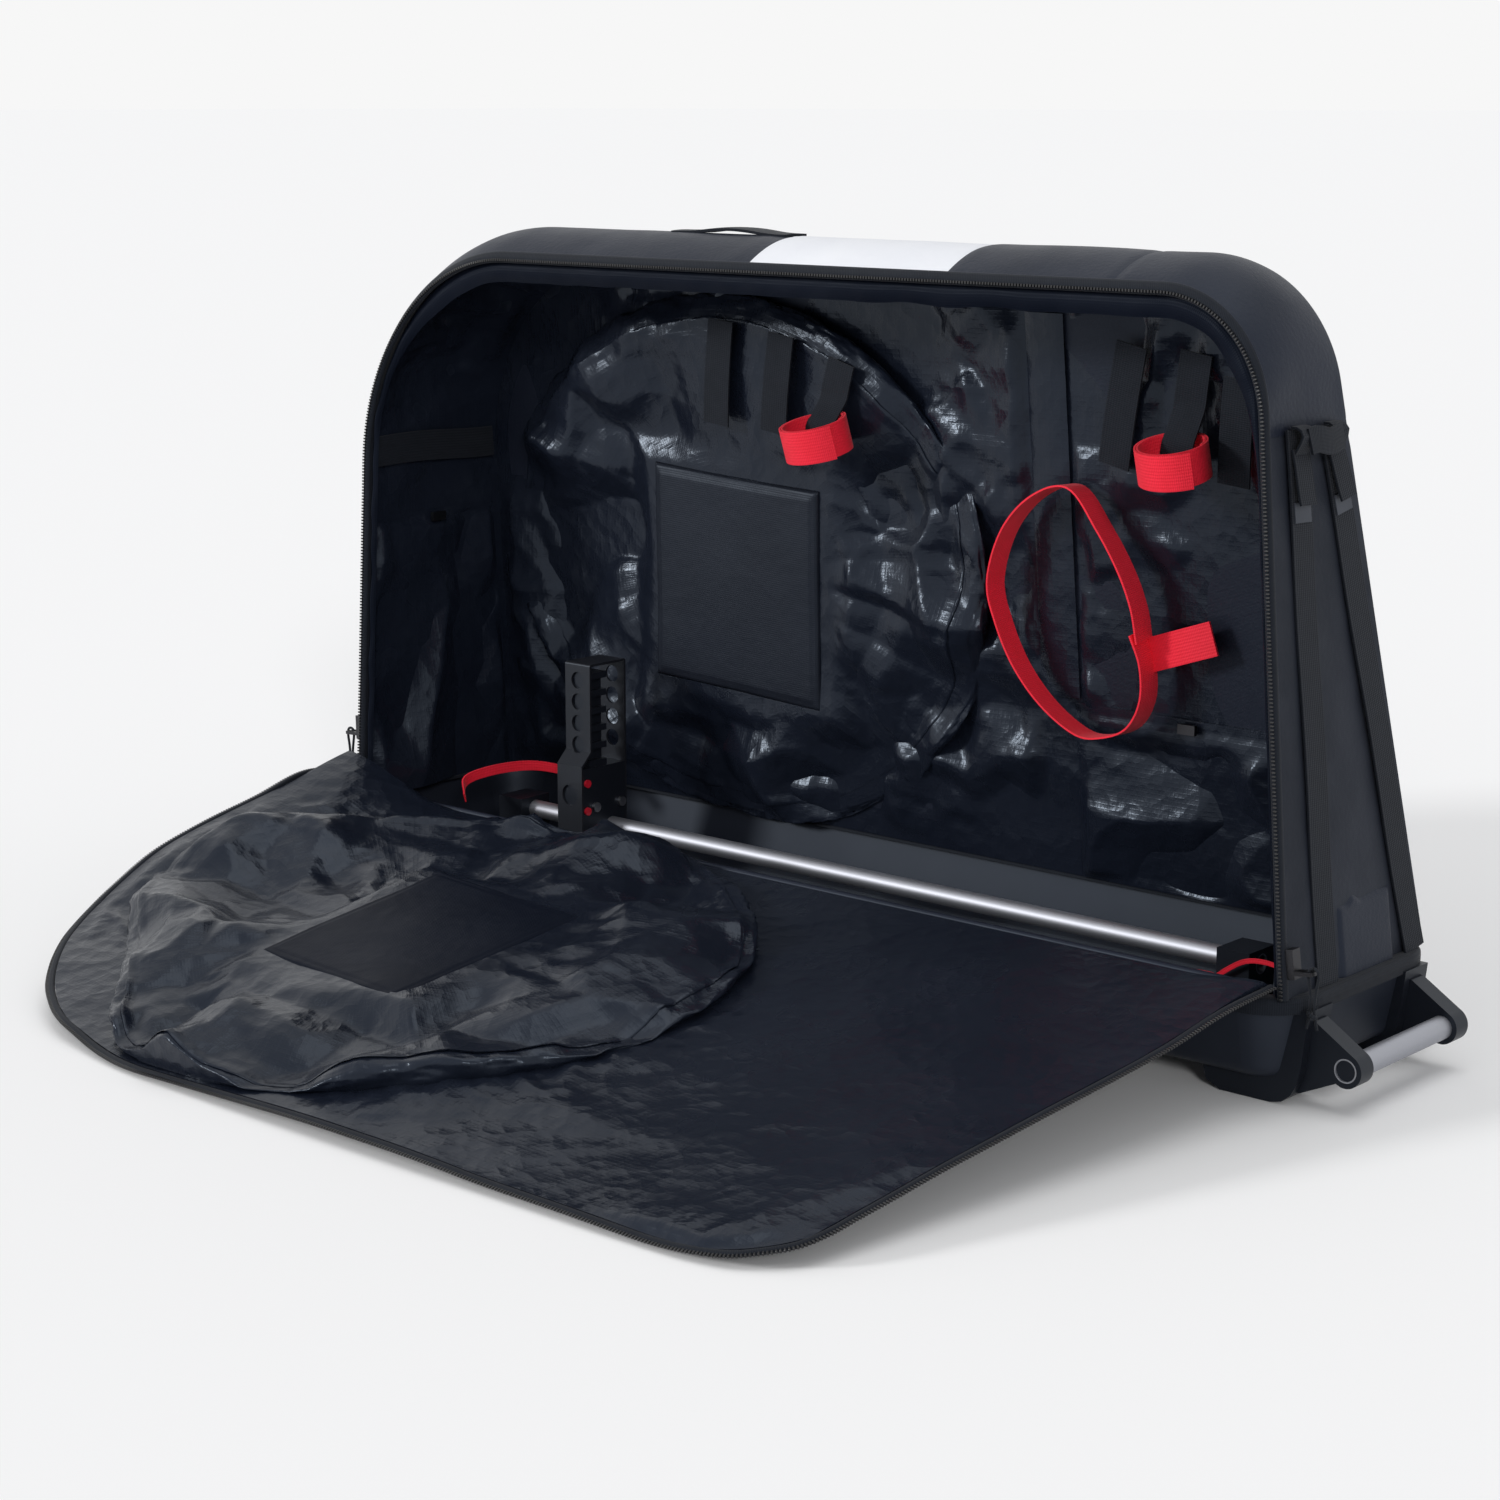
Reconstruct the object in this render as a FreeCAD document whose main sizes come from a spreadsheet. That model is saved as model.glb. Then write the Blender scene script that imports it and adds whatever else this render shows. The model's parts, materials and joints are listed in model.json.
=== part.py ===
"""Soft bike travel case on a hard base tray, with one long side folded down.

Frame: X along the case (grab bar at +X), -Y the open side, +Z up, floor at Z = 0.
The case is drawn about its own middle plane, which lies case_y from the frame's origin.
"""
import FreeCAD
import Part
import Sketcher
import math
import os
import re
from FreeCAD import Placement, Rotation, Vector

# Driving dimensions, in millimetres and degrees.
SIZES = {
    "case_y": 332.87,
    "fit_gap": 0.05,
    "soft_gap": 0.3,
    # hard tray and the hem over its rim
    "tray_length": 1380.0,
    "tray_width": 300.0,
    "tray_draft": 11.0,
    "tray_floor_z": 24.0,
    "tray_rim_z": 110.0,
    "tray_wall": 5.0,
    "tray_corner": 58.0,
    "tray_round": 18.0,
    "hem_thick": 3.5,
    "hem_cap": 4.0,
    "hem_skirt": 8.0,
    "hem_ledge": 16.0,
    "pad_thick": 8.0,
    "pad_margin": 50.0,
    # front runners and the grab bar
    "runner_inset": 54.0,
    "runner_width": 46.0,
    "runner_run": 115.0,
    "runner_face": 8.0,
    "ear_width": 24.0,
    "ear_radius": 18.0,
    "bar_reach": 44.0,
    "bar_z": 46.0,
    "bar_radius": 12.5,
    "bar_wall": 1.5,
    "plug_length": 14.0,
    "plug_recess": 2.0,
    # rear wheels
    "wheel_reach": 31.0,
    "wheel_inset": 50.0,
    "wheel_radius": 31.0,
    "wheel_width": 28.0,
    "hub_radius": 22.0,
    "axle_radius": 4.0,
    "cheek": 10.0,
    "wheel_gap": 3.0,
    "axle_head": 7.0,
    "axle_head_thick": 4.0,
    # screws from the tray floor into runners and housings
    "screw_radius": 2.5,
    "screw_head": 5.5,
    "screw_head_thick": 3.0,
    "screw_depth": 8.0,
    "screw_set_back": 78.0,
    "screw_pitch": 26.0,
    # soft shell
    "wall": 6.0,
    "front_set_back": 10.0,
    "front_lean": 7.4,
    "rear_set_back": 8.0,
    "rear_lean": 1.4,
    "zip_top_z": 797.0,
    "ridge_rise": 33.0,
    "front_corner": 131.0,
    "rear_corner": 233.0,
    "far_inset": 12.0,
    "far_top_rear": 110.0,
    "far_top_front": 36.0,
    "side_lean": 4.6,
    "white_rear_x": -75.0,
    "white_front_x": 203.0,
    "hood_run": 265.0,
    "hood_z": 660.0,
    "rear_seam_z": 560.0,
    "zip_width": 16.0,
    "zip_thick": 2.7,
    # flap and its fold
    "hinge_inset": 9.0,
    "hinge_z": 124.0,
    "sill_radius": 4.5,
    "sill_thick": 5.0,
    "sill_margin": 50.0,
    "flap_open": 10.0,
    "flap_thick": 6.0,
    "flap_start": 5.3,
    "flap_reach": 688.0,
    "flap_inset": 4.0,
    "binding_width": 8.0,
    "binding_thick": 8.0,
    "lip_offset": 5.0,
    "flap_pocket_set_in": 459.0,
    "flap_pocket_v": 338.0,
    "flap_pocket_radius": 315.0,
    "flap_pocket_thick": 40.0,
    "pocket_thick": 28.0,
    "hub_pad_side": 270.0,
    "hub_pad_thick": 13.0,
    # fittings on the back wall
    "back_pocket_set_in": 447.0,
    "back_pocket_z": 410.0,
    "back_pocket_radius": 345.0,
    "strap_thick": 2.2,
    "holder_width": 40.0,
    "sleeve_set_in": 448.0,
    "sleeve_width": 52.0,
    "loop_set_in": 408.0,
    "loop_z": 432.0,
    "loop_length": 206.0,
    "loop_height": 288.0,
    "loop_band": 38.0,
    "loop_round": 90.0,
    "tab_length": 84.0,
    "tab_height": 40.0,
    "store_set_in": 275.0,
    "store_length": 310.0,
    "store_top_z": 322.0,
    "store_thick": 4.0,
    "roll_core": 36.0,
    "roll_pitch": 2.6,
    "roll_turns": 2,
    "roll_width": 40.0,
    # fittings on the end walls
    "rear_pocket_top_z": 470.0,
    "rear_pocket_thick": 8.0,
    "elastic_z": 530.0,
    "elastic_width": 40.0,
    "lift_width": 38.0,
    "lift_near_y": -63.0,
    "lift_near_turn": -1.9,
    "lift_far_y": 112.0,
    "lift_far_turn": 9.7,
    "lift_top_z": 668.0,
    "tip_z": 575.0,
    "tip_height": 20.0,
    "tail_width": 30.0,
    "handle_stand": 19.0,
    "handle_height": 28.0,
    "doc_pocket_top_z": 190.0,
    "doc_pocket_thick": 5.0,
    "top_handle_x": -170.0,
    "top_handle_rise": 22.0,
    "top_handle_width": 38.0,
    "top_handle_y": 12.0,
    # stand inside the case
    "rail_y": 15.0,
    "rail_z": 96.0,
    "rail_radius": 11.0,
    "rail_wall": 1.5,
    "rail_margin": 130.0,
    "hold_down_width": 26.0,
    "foot_length": 40.0,
    "foot_width": 50.0,
    "foot_cover": 5.0,
    "upright_set_in": 155.0,
    "clamp_length": 42.0,
    "clamp_rise": 78.0,
    "plate_thick": 3.0,
    "plate_width": 42.0,
    "plate_depth": 80.0,
    "plate_top_z": 304.0,
    "plate_face_y": -38.0,
    "plate_set_back": 16.0,
    "plate_hole": 10.5,
    "plate_hole_pitch": 27.0,
    "plate_big_hole": 13.0,
    "plate_big_hole_drop": 34.0,
    "column_width": 34.0,
    "column_depth": 30.0,
    "column_top_z": 292.0,
    "rib_pitch": 22.0,
    "rib_gap": 8.0,
    "rib_depth": 9.0,
    "bolt_radius": 3.0,
    "bolt_length": 14.0,
    "bolt_head": 6.0,
    "bolt_head_thick": 4.0,
    "bolt_drop": 50.0,
    "bolt_near_y": -14.0,
    "bolt_far_y": 31.0,
    "cap_radius": 5.0,
    "cap_thick": 3.0,
    "cap_set_in": 9.0,
    "cap_low_drop": 53.0,
    "cap_high_drop": 18.0,
    # zip sliders and cord pulls
    "slider_length": 30.0,
    "slider_width": 14.0,
    "slider_thick": 8.0,
    "front_slider_z": 135.0,
    "rear_slider_z": 186.0,
    "bail_reach": 20.0,
    "bail_radius": 2.0,
    "pull_length": 36.0,
    "pull_radius": 1.7,
    "pull_bend": 5.5,
    "knot_radius": 6.0,
    "small_slider_length": 22.0,
    "small_slider_height": 11.0,
    "small_slider_thick": 5.0,
}

# Places along and across the case, each worked out from the tray.
PLACES = {
    "runner_y": "tray_width / 2 - runner_inset",
    "wheel_y": "tray_width / 2 - wheel_inset",
    "hinge_y": "tray_width / 2 - hinge_inset",
    "far_y": "tray_width / 2 - far_inset",
    "runner_back_x": "tray_length / 2 - runner_run",
    "bar_x": "tray_length / 2 + bar_reach",
    "wheel_x": "tray_length / 2 + wheel_reach",
    "screw_x": "tray_length / 2 - screw_set_back",
    "front_x": "tray_length / 2 - front_set_back",
    "rear_x": "tray_length / 2 - rear_set_back",
    "hood_x": "front_x - hood_run",
    "sill_length": "tray_length - 2 * sill_margin",
    "flap_pocket_x": "flap_pocket_set_in - rear_x",
    "back_pocket_x": "back_pocket_set_in - rear_x",
    "sleeve_x": "front_x - sleeve_set_in",
    "loop_x": "front_x - loop_set_in",
    "store_x": "front_x - store_set_in",
    "rail_length": "tray_length - 2 * rail_margin",
    "upright_x": "upright_set_in - rail_length / 2",
}
CELLS = {**SIZES, **{alias: f"={formula}" for alias, formula in PLACES.items()}}

doc = FreeCAD.newDocument("bike_travel_case")
sheet = doc.addObject("Spreadsheet::Sheet", "Sizes")
for row, (alias, content) in enumerate(CELLS.items(), start=1):
    sheet.set(f"A{row}", alias)
    sheet.set(f"B{row}", str(content))
    sheet.setAlias(f"B{row}", alias)
doc.recompute()

NODES = []


def size(alias):
    """The sheet's value, for geometry that is worked out in code."""
    return float(sheet.get(alias))


def ex(text):
    """An expression on the sheet's cells, from words that are aliases."""
    def cell(found):
        word = found.group(0)
        return f"Sizes.{word}" if word in CELLS else word

    return re.sub(r"[a-z][a-z_]*", cell, str(text))


def bind(obj, **formulas):
    for prop, text in formulas.items():
        obj.setExpression(prop, ex(text))


def place(obj, x="0", y="0", z="0", axis=None, angle=None):
    """Put an object at a point given from the case's middle, turned about one axis."""
    if axis is not None:
        obj.Placement = Placement(Vector(), Rotation(axis, 1.0))
        obj.setExpression("Placement.Rotation.Angle", ex(angle))
    obj.setExpression("Placement.Base.x", ex(x))
    obj.setExpression("Placement.Base.y", ex(f"case_y + ({y})"))
    obj.setExpression("Placement.Base.z", ex(z))
    return obj


def node(obj, label):
    obj.Label = label
    NODES.append(obj)
    return obj


def box(name, x0, x1, y0, y1, z0, z1):
    """A box between two corners."""
    obj = doc.addObject("Part::Box", name)
    bind(obj, Length=f"({x1}) - ({x0})", Width=f"({y1}) - ({y0})", Height=f"({z1}) - ({z0})")
    return place(obj, x0, y0, z0)


def cylinder(name, radius, length, x, y, z, axis="Z"):
    """A cylinder centred on a point along one axis."""
    obj = doc.addObject("Part::Cylinder", name)
    bind(obj, Radius=radius, Height=length)
    half = f"({length}) / 2"
    if axis == "X":
        return place(obj, f"{x} - {half}", y, z, Vector(0, 1, 0), "90")
    if axis == "Y":
        return place(obj, x, f"{y} + {half}", z, Vector(1, 0, 0), "90")
    return place(obj, x, y, f"{z} - {half}")


def boolean(kind, name, base, tool):
    obj = doc.addObject(f"Part::{kind}", name)
    obj.Base = base
    obj.Tool = tool
    return obj


def cut(name, base, *tools):
    for count, tool in enumerate(tools):
        base = boolean("Cut", f"{name}_{count}", base, tool)
    return base


def common(name, base, tool):
    return boolean("Common", name, base, tool)


def fuse(name, *parts):
    obj = doc.addObject("Part::MultiFuse", name)
    obj.Shapes = list(parts)
    return obj


def group(name, *parts):
    obj = doc.addObject("Part::Compound", name)
    obj.Links = list(parts)
    return obj


def body(name, **where):
    return place(doc.addObject("PartDesign::Body", name), **where)


def sketch(owner, role, offset="0"):
    """A sketch on one of the body's own planes, moved along that plane's normal."""
    drawing = owner.newObject("Sketcher::SketchObject", f"{owner.Name}_sketch")
    drawing.AttachmentSupport = (next(f for f in owner.Origin.OriginFeatures if f.Role == role), [""])
    drawing.MapMode = "FlatFace"
    drawing.setExpression("AttachmentOffset.Base.z", ex(offset))
    return drawing


def outline(drawing, points):
    """A closed polygon whose corners are all set by the sheet."""
    count = len(points)
    start = drawing.GeometryCount
    ring = [Vector(50 * math.cos(2 * math.pi * i / count), 50 * math.sin(2 * math.pi * i / count), 0)
            for i in range(count)]
    for i in range(count):
        drawing.addGeometry(Part.LineSegment(ring[i], ring[(i + 1) % count]), False)
    for i in range(count):
        drawing.addConstraint(Sketcher.Constraint("Coincident", start + i, 2, start + (i + 1) % count, 1))
    for i, (across, along) in enumerate(points):
        for kind, text, value in (("DistanceX", across, ring[i].x), ("DistanceY", along, ring[i].y)):
            number = drawing.addConstraint(Sketcher.Constraint(kind, -1, 1, start + i, 1, value))
            drawing.setExpression(f"Constraints[{number}]", ex(text))
    return drawing


def circle(drawing, across, along, radius):
    index = drawing.addGeometry(Part.Circle(Vector(40, 40, 0), Vector(0, 0, 1), 10), False)
    for kind, text in (("DistanceX", across), ("DistanceY", along)):
        number = drawing.addConstraint(Sketcher.Constraint(kind, -1, 1, index, 3, 40))
        drawing.setExpression(f"Constraints[{number}]", ex(text))
    number = drawing.addConstraint(Sketcher.Constraint("Radius", index, 10))
    drawing.setExpression(f"Constraints[{number}]", ex(radius))
    return drawing


def rectangle(drawing, half_x, half_y):
    return outline(drawing, [(f"-({half_x})", f"-({half_y})"), (half_x, f"-({half_y})"),
                             (half_x, half_y), (f"-({half_x})", half_y)])


def feature(owner, kind, drawing, length, both_ways=True):
    """A Pad or Pocket, by default half to each side of its sketch."""
    obj = owner.newObject(f"PartDesign::{kind}", f"{owner.Name}_{kind}")
    obj.Profile = drawing
    if both_ways:
        obj.SideType = "Symmetric"
    bind(obj, Length=length)
    return obj


def fillet(owner, base, radius, chosen):
    """Round the edges of a feature that the test picks by their end points."""
    doc.recompute()
    edges = [f"Edge{i}" for i, edge in enumerate(base.Shape.Edges, start=1)
             if chosen(edge.Vertexes[0].Point, edge.Vertexes[-1].Point)]
    obj = owner.newObject("PartDesign::Fillet", f"{owner.Name}_fillet")
    obj.Base = (base, edges)
    bind(obj, Radius=radius)
    return obj


def upright(a, b):
    return abs(a.z - b.z) > 0.5 * (a - b).Length > 0.1


def prism(name, half_x, half_y, z0, z1, corner):
    """An upright block with rounded corners."""
    owner = body(name)
    pad = feature(owner, "Pad", rectangle(sketch(owner, "XY_Plane", z0), half_x, half_y),
                  f"({z1}) - ({z0})", both_ways=False)
    fillet(owner, pad, corner, upright)
    return owner


def tray_block(name, inset):
    """The tray's drafted, rounded form, moved in by a wall."""
    owner = prism(name, f"tray_length / 2 - {inset}", f"tray_width / 2 - {inset}", f"tray_floor_z + {inset}",
                  "tray_rim_z", f"tray_corner - {inset}")
    doc.recompute()
    block = owner.Tip
    sides = []
    for i, face in enumerate(block.Shape.Faces, start=1):
        normal = face.normalAt(*face.Surface.parameter(face.CenterOfMass))
        if abs(normal.z) < 0.5:
            sides.append(f"Face{i}")
        elif normal.z > 0.5:
            rim = f"Face{i}"
    draft = owner.newObject("PartDesign::Draft", f"{name}_draft")
    draft.Base = (block, sides)
    draft.NeutralPlane = (block, [rim])
    bind(draft, Angle="tray_draft")
    doc.recompute()
    if draft.Shape.Volume > block.Shape.Volume:
        draft.Reversed = True
    doc.recompute()
    floor_z = draft.Shape.BoundBox.ZMin
    fillet(owner, draft, f"tray_round - {inset}", lambda a, b: max(a.z, b.z) < floor_z + 0.01)
    return owner


# Base: tray, hem, pad, screws

tray_outer = tray_block("tray_outer", "0")
tray_inner = tray_block("tray_inner", "tray_wall")

screws = []
screw_holes = []
for side_x in (1, -1):
    across = "runner_y" if side_x > 0 else "wheel_y"
    for side_y in (-1, 1):
        for step in (0, 1):
            x = f"{side_x} * (screw_x + {step} * screw_pitch)"
            y = f"{side_y} * {across}"
            top = "(tray_floor_z + tray_wall)"
            length = "tray_wall + screw_depth"
            tag = f"screw_{len(screws)}"
            shank = cylinder(f"{tag}_shank", "screw_radius", length, x, y, f"{top} - ({length}) / 2")
            head_z = f"{top} + screw_head_thick / 2"
            head = cylinder(f"{tag}_head", "screw_head", "screw_head_thick", x, y, head_z)
            screws.append(fuse(tag, shank, head))
            screw_holes.append(cylinder(f"{tag}_hole", "screw_radius + fit_gap", length, x, y,
                                        f"{top} - ({length}) / 2"))
base_screws = node(group("base_screws", *screws), "base_screws")
holes = group("screw_holes", *screw_holes)

node(cut("tray", tray_outer, tray_inner, holes), "base_tray")

hem_block = prism("hem_block", "tray_length / 2 + hem_thick", "tray_width / 2 + hem_thick",
                  "tray_rim_z - hem_skirt", "tray_rim_z + hem_cap", "tray_corner + hem_thick")
hem_hole = prism("hem_hole", "tray_length / 2 - hem_ledge", "tray_width / 2 - hem_ledge",
                 "tray_rim_z - 2 * hem_skirt", "tray_rim_z + 4 * hem_cap", "tray_corner - hem_ledge")
node(cut("hem", hem_block, hem_hole, tray_outer), "rim_hem")

pad_z = "(tray_floor_z + tray_wall + screw_head_thick)"
floor_pad = prism("floor_pad", "tray_length / 2 - pad_margin", "tray_width / 2 - pad_margin",
                  pad_z, f"{pad_z} + pad_thick", "tray_corner - hem_ledge")
node(floor_pad, "floor_pad")

# Front runners, grab bar

draft_in = "(tray_rim_z - tray_floor_z) * tan(tray_draft)"
front_wall = f"(tray_length / 2 - {draft_in} + runner_face)"


def runner(name, side):
    """A skid that wraps the tray's front corner and ends in an ear for the bar."""
    owner = body(name, y=f"{side} * runner_y")
    band = outline(sketch(owner, "XZ_Plane"), [
        ("runner_back_x", "tray_floor_z + 6"), ("runner_back_x + 6", "8"), ("runner_back_x + 22", "0"),
        (f"{front_wall} - 25", "0"), (f"{front_wall} - 12", "3"), (f"{front_wall} - 2", "11"),
        (f"{front_wall} + 5", "24"), (f"{front_wall} + 9", "42"),
        ("tray_length / 2 + runner_face - 1", "tray_rim_z - hem_skirt - 1"),
        ("tray_length / 2 - 14", "tray_rim_z - hem_skirt - 1"),
        (f"{front_wall} - 30", "tray_floor_z + 34"), (f"{front_wall} - 36", "tray_floor_z + 6")])
    feature(owner, "Pad", band, "runner_width")
    ear = outline(sketch(owner, "XZ_Plane"), [
        (f"{front_wall} - 4", "bar_z - 34"), (f"{front_wall} + 2", "bar_z - 34"),
        ("bar_x - 0.55 * ear_radius", "bar_z - 0.835 * ear_radius"), ("bar_x", "bar_z"),
        ("bar_x + 0.44 * ear_radius", "bar_z + 0.898 * ear_radius"),
        ("tray_length / 2 + runner_face", "bar_z + 44"), (f"{front_wall} - 2", "bar_z + 44")])
    feature(owner, "Pad", ear, "ear_width")
    feature(owner, "Pad", circle(sketch(owner, "XZ_Plane"), "bar_x", "bar_z", "ear_radius"), "ear_width")
    bore = circle(sketch(owner, "XZ_Plane"), "bar_x", "bar_z", "bar_radius + fit_gap")
    feature(owner, "Pocket", bore, "2 * ear_width")
    return cut(f"{name}_cut", owner, tray_outer, holes)


node(runner("runner_near", -1), "front_runner_near")
node(runner("runner_far", 1), "front_runner_far")

bar_length = "(2 * runner_y + ear_width)"
bar_outer = cylinder("bar_outer", "bar_radius", bar_length, "bar_x", "0", "bar_z", "Y")
bar_inner = cylinder("bar_inner", "bar_radius - bar_wall", f"{bar_length} + 2", "bar_x", "0", "bar_z", "Y")
node(cut("bar", bar_outer, bar_inner), "grab_bar")

plugs = []
for side in (-1, 1):
    middle = f"{side} * ({bar_length} / 2 - plug_recess - plug_length / 2)"
    plug = cylinder(f"plug_{side + 1}", "bar_radius - bar_wall - fit_gap", "plug_length",
                    "bar_x", middle, "bar_z", "Y")
    plugs.append(plug)
node(group("bar_plugs", *plugs), "bar_plugs")

# Rear wheels and their housings

housing_width = "(wheel_width + 2 * wheel_gap + 2 * cheek)"
rear_wall = f"(tray_length / 2 - {draft_in})"


def housing(name, side):
    """A moulded corner with two cheeks that carry one wheel."""
    owner = body(name, y=f"{side} * wheel_y")
    shape = outline(sketch(owner, "XZ_Plane"), [
        ("-screw_x + 14", "tray_floor_z + 6"), ("-screw_x + 14", "tray_floor_z - 10"),
        (f"-{rear_wall} - 6", "tray_floor_z - 10"), ("-wheel_x - 16", "wheel_radius - 9"),
        ("-wheel_x - 20", "wheel_radius + 4"), ("-wheel_x - 15", "wheel_radius + 30"),
        ("-tray_length / 2 - runner_face", "tray_rim_z - hem_skirt - 3"),
        ("-tray_length / 2 + 14", "tray_rim_z - hem_skirt - 3"),
        (f"-{rear_wall} + 30", "tray_floor_z + 34"), (f"-{rear_wall} + 30", "tray_floor_z + 6")])
    feature(owner, "Pad", shape, housing_width)
    well = circle(sketch(owner, "XZ_Plane"), "-wheel_x", "wheel_radius", "wheel_radius + wheel_gap + 1")
    feature(owner, "Pocket", well, "wheel_width + 2 * wheel_gap")
    bore = circle(sketch(owner, "XZ_Plane"), "-wheel_x", "wheel_radius", "axle_radius + fit_gap")
    feature(owner, "Pocket", bore, f"{housing_width} + 4")
    return cut(f"{name}_cut", owner, tray_outer, holes)


def turned(name, profile, **where):
    """A ring or shaft turned about a line along Y, from points (along, radius)."""
    owner = body(name, **where)
    drawing = outline(sketch(owner, "YZ_Plane"), profile)
    spin = owner.newObject("PartDesign::Revolution", f"{name}_spin")
    spin.Profile = drawing
    spin.ReferenceAxis = (drawing, ["H_Axis"])
    spin.Angle = 360
    return owner


axles = []
for side, word in ((-1, "near"), (1, "far")):
    spot = {"x": "-wheel_x", "y": f"{side} * wheel_y", "z": "wheel_radius"}
    node(housing(f"housing_{word}", side), f"wheel_housing_{word}")
    half = "wheel_width / 2"
    hub_face = f"{half} + wheel_gap - fit_gap"
    node(turned(f"hub_{word}", [
        (f"-({hub_face})", "axle_radius + fit_gap"), (hub_face, "axle_radius + fit_gap"),
        (hub_face, "axle_radius + 5"),
        (half, "axle_radius + 7"), (half, "hub_radius"), (f"-({half})", "hub_radius"),
        (f"-({half})", "axle_radius + 7"),
        (f"-({hub_face})", "axle_radius + 5")], **spot), f"wheel_hub_{word}")
    node(turned(f"tyre_{word}", [
        (f"-({half})", "hub_radius"), (half, "hub_radius"), (half, "wheel_radius - 3"),
        (f"{half} - 5", "wheel_radius"), (f"-({half}) + 5", "wheel_radius"),
        (f"-({half})", "wheel_radius - 3")], **spot), f"wheel_tyre_{word}")
    reach = f"({housing_width} / 2)"
    axles.append(turned(f"axle_{word}", [
        (f"-{reach} - axle_head_thick", "0"), (f"{reach} + axle_head_thick", "0"),
        (f"{reach} + axle_head_thick", "axle_head"), (reach, "axle_head"), (reach, "axle_radius"),
        (f"-{reach}", "axle_radius"), (f"-{reach}", "axle_head"),
        (f"-{reach} - axle_head_thick", "axle_head")], **spot))
node(group("axles", *axles), "wheel_axles")

# Soft shell: crowned across, leaning ends, one open side


def rounded_wire(points, radii):
    """A closed wire through coplanar points, with arcs at the corners that have a radius."""
    edges = []
    last = None
    first = None
    count = len(points)
    for i, (corner, radius) in enumerate(zip(points, radii)):
        before = (points[i - 1] - corner).normalize()
        after = (points[(i + 1) % count] - corner).normalize()
        if radius:
            half_angle = math.acos(before.dot(after)) / 2
            inward = (before + after).normalize()
            reach = radius / math.tan(half_angle)
            start = corner + before * reach
            end = corner + after * reach
            middle = corner + inward * (radius / math.sin(half_angle) - radius)
        else:
            start = corner
            end = corner
        if last is not None:
            edges.append(Part.LineSegment(last, start).toShape())
        else:
            first = start
        if radius:
            edges.append(Part.Arc(start, middle, end).toShape())
        last = end
    edges.append(Part.LineSegment(last, first).toShape())
    return Part.Wire(edges)


SHELL_Z = size("tray_rim_z") + size("hem_cap") + size("soft_gap")
FRONT_TAN = math.tan(math.radians(size("front_lean")))
REAR_TAN = math.tan(math.radians(size("rear_lean")))
SIDE_TAN = math.tan(math.radians(size("side_lean")))
NEAR_TOP_Y = size("hinge_y") - SIDE_TAN * (size("zip_top_z") - size("hinge_z"))
CROWN = size("ridge_rise") / NEAR_TOP_Y ** 2
REACH_Y = size("tray_width") / 2 + 20


def shell_section(y, inset, low):
    """The case's outline seen from the open side, where it is cut at one y."""
    top = size("zip_top_z") + size("ridge_rise") - CROWN * y * y - inset
    front = size("front_x") - inset / math.cos(math.radians(size("front_lean")))
    rear = -size("rear_x") + inset / math.cos(math.radians(size("rear_lean")))

    def point(x, z, tangent):
        return Vector(x - tangent * (z - SHELL_Z), y, z)

    corners = [point(rear, low, REAR_TAN), point(rear, top, REAR_TAN),
               point(front, top, FRONT_TAN), point(front, low, FRONT_TAN)]
    return rounded_wire(corners, [0, size("rear_corner") - inset, size("front_corner") - inset, 0])


def shell_block(inset, low):
    """The whole case as one block, moved in or out by inset."""
    return Part.makeLoft([shell_section(y, inset, low) for y in (-REACH_Y, 0, REACH_Y)], True, False)


def near_block(offset):
    """All that lies outside a plane beside the closed flap."""
    span = size("tray_length")
    block = Part.makeBox(2 * span, span, 2 * span, Vector(-span, -span, -span / 2))
    block.Placement = Placement(Vector(0, -size("hinge_y") + offset, size("hinge_z")),
                                Rotation(Vector(1, 0, 0), -size("side_lean")))
    return block


def far_line(x, z):
    """How far out the back wall's outer face is, where it is met at x and z."""
    share = (x + size("rear_x")) / (size("rear_x") + size("front_x"))
    top = size("far_top_rear") + share * (size("far_top_front") - size("far_top_rear"))
    rise = (z - SHELL_Z) / (size("zip_top_z") - SHELL_Z)
    return size("far_y") + rise * (top - size("far_y"))


def far_layer(outer, inner, low=None):
    """A layer beside the back wall, between two depths measured in from its outer face."""
    low = SHELL_Z if low is None else low
    wires = []
    for z in (low, size("zip_top_z") + 120):
        ends = (-size("rear_x") - 60, size("front_x") + 60)
        points = [Vector(x, far_line(x, z) - depth, z)
                  for x, depth in ((ends[0], inner), (ends[1], inner), (ends[1], outer), (ends[0], outer))]
        wires.append(Part.makePolygon(points + points[:1]))
    return Part.makeLoft(wires, True, True)


def solid(name, shape):
    """A document object for a shape that is worked out above."""
    obj = doc.addObject("Part::Feature", name)
    obj.Shape = shape
    obj.Placement = Placement(Vector(0, size("case_y"), 0), Rotation())
    return obj


def end_layer(outer, inner, margin):
    """A layer of the ends and top, clear of the flap's plane and of the back wall."""
    ring = shell_block(outer, SHELL_Z).cut(shell_block(inner, SHELL_Z - 30))
    beyond_back = far_layer(-size("tray_width"), size("wall") + size("soft_gap") + margin, SHELL_Z - 60)
    return ring.cut(near_block(size("lip_offset") + margin)).cut(beyond_back)


GAP = size("soft_gap")
WALL = size("wall")
gusset = solid("gusset", end_layer(0, WALL, 0))
node(solid("back", shell_block(0, SHELL_Z).common(far_layer(0, WALL, SHELL_Z - 60))), "back_panel")

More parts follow.
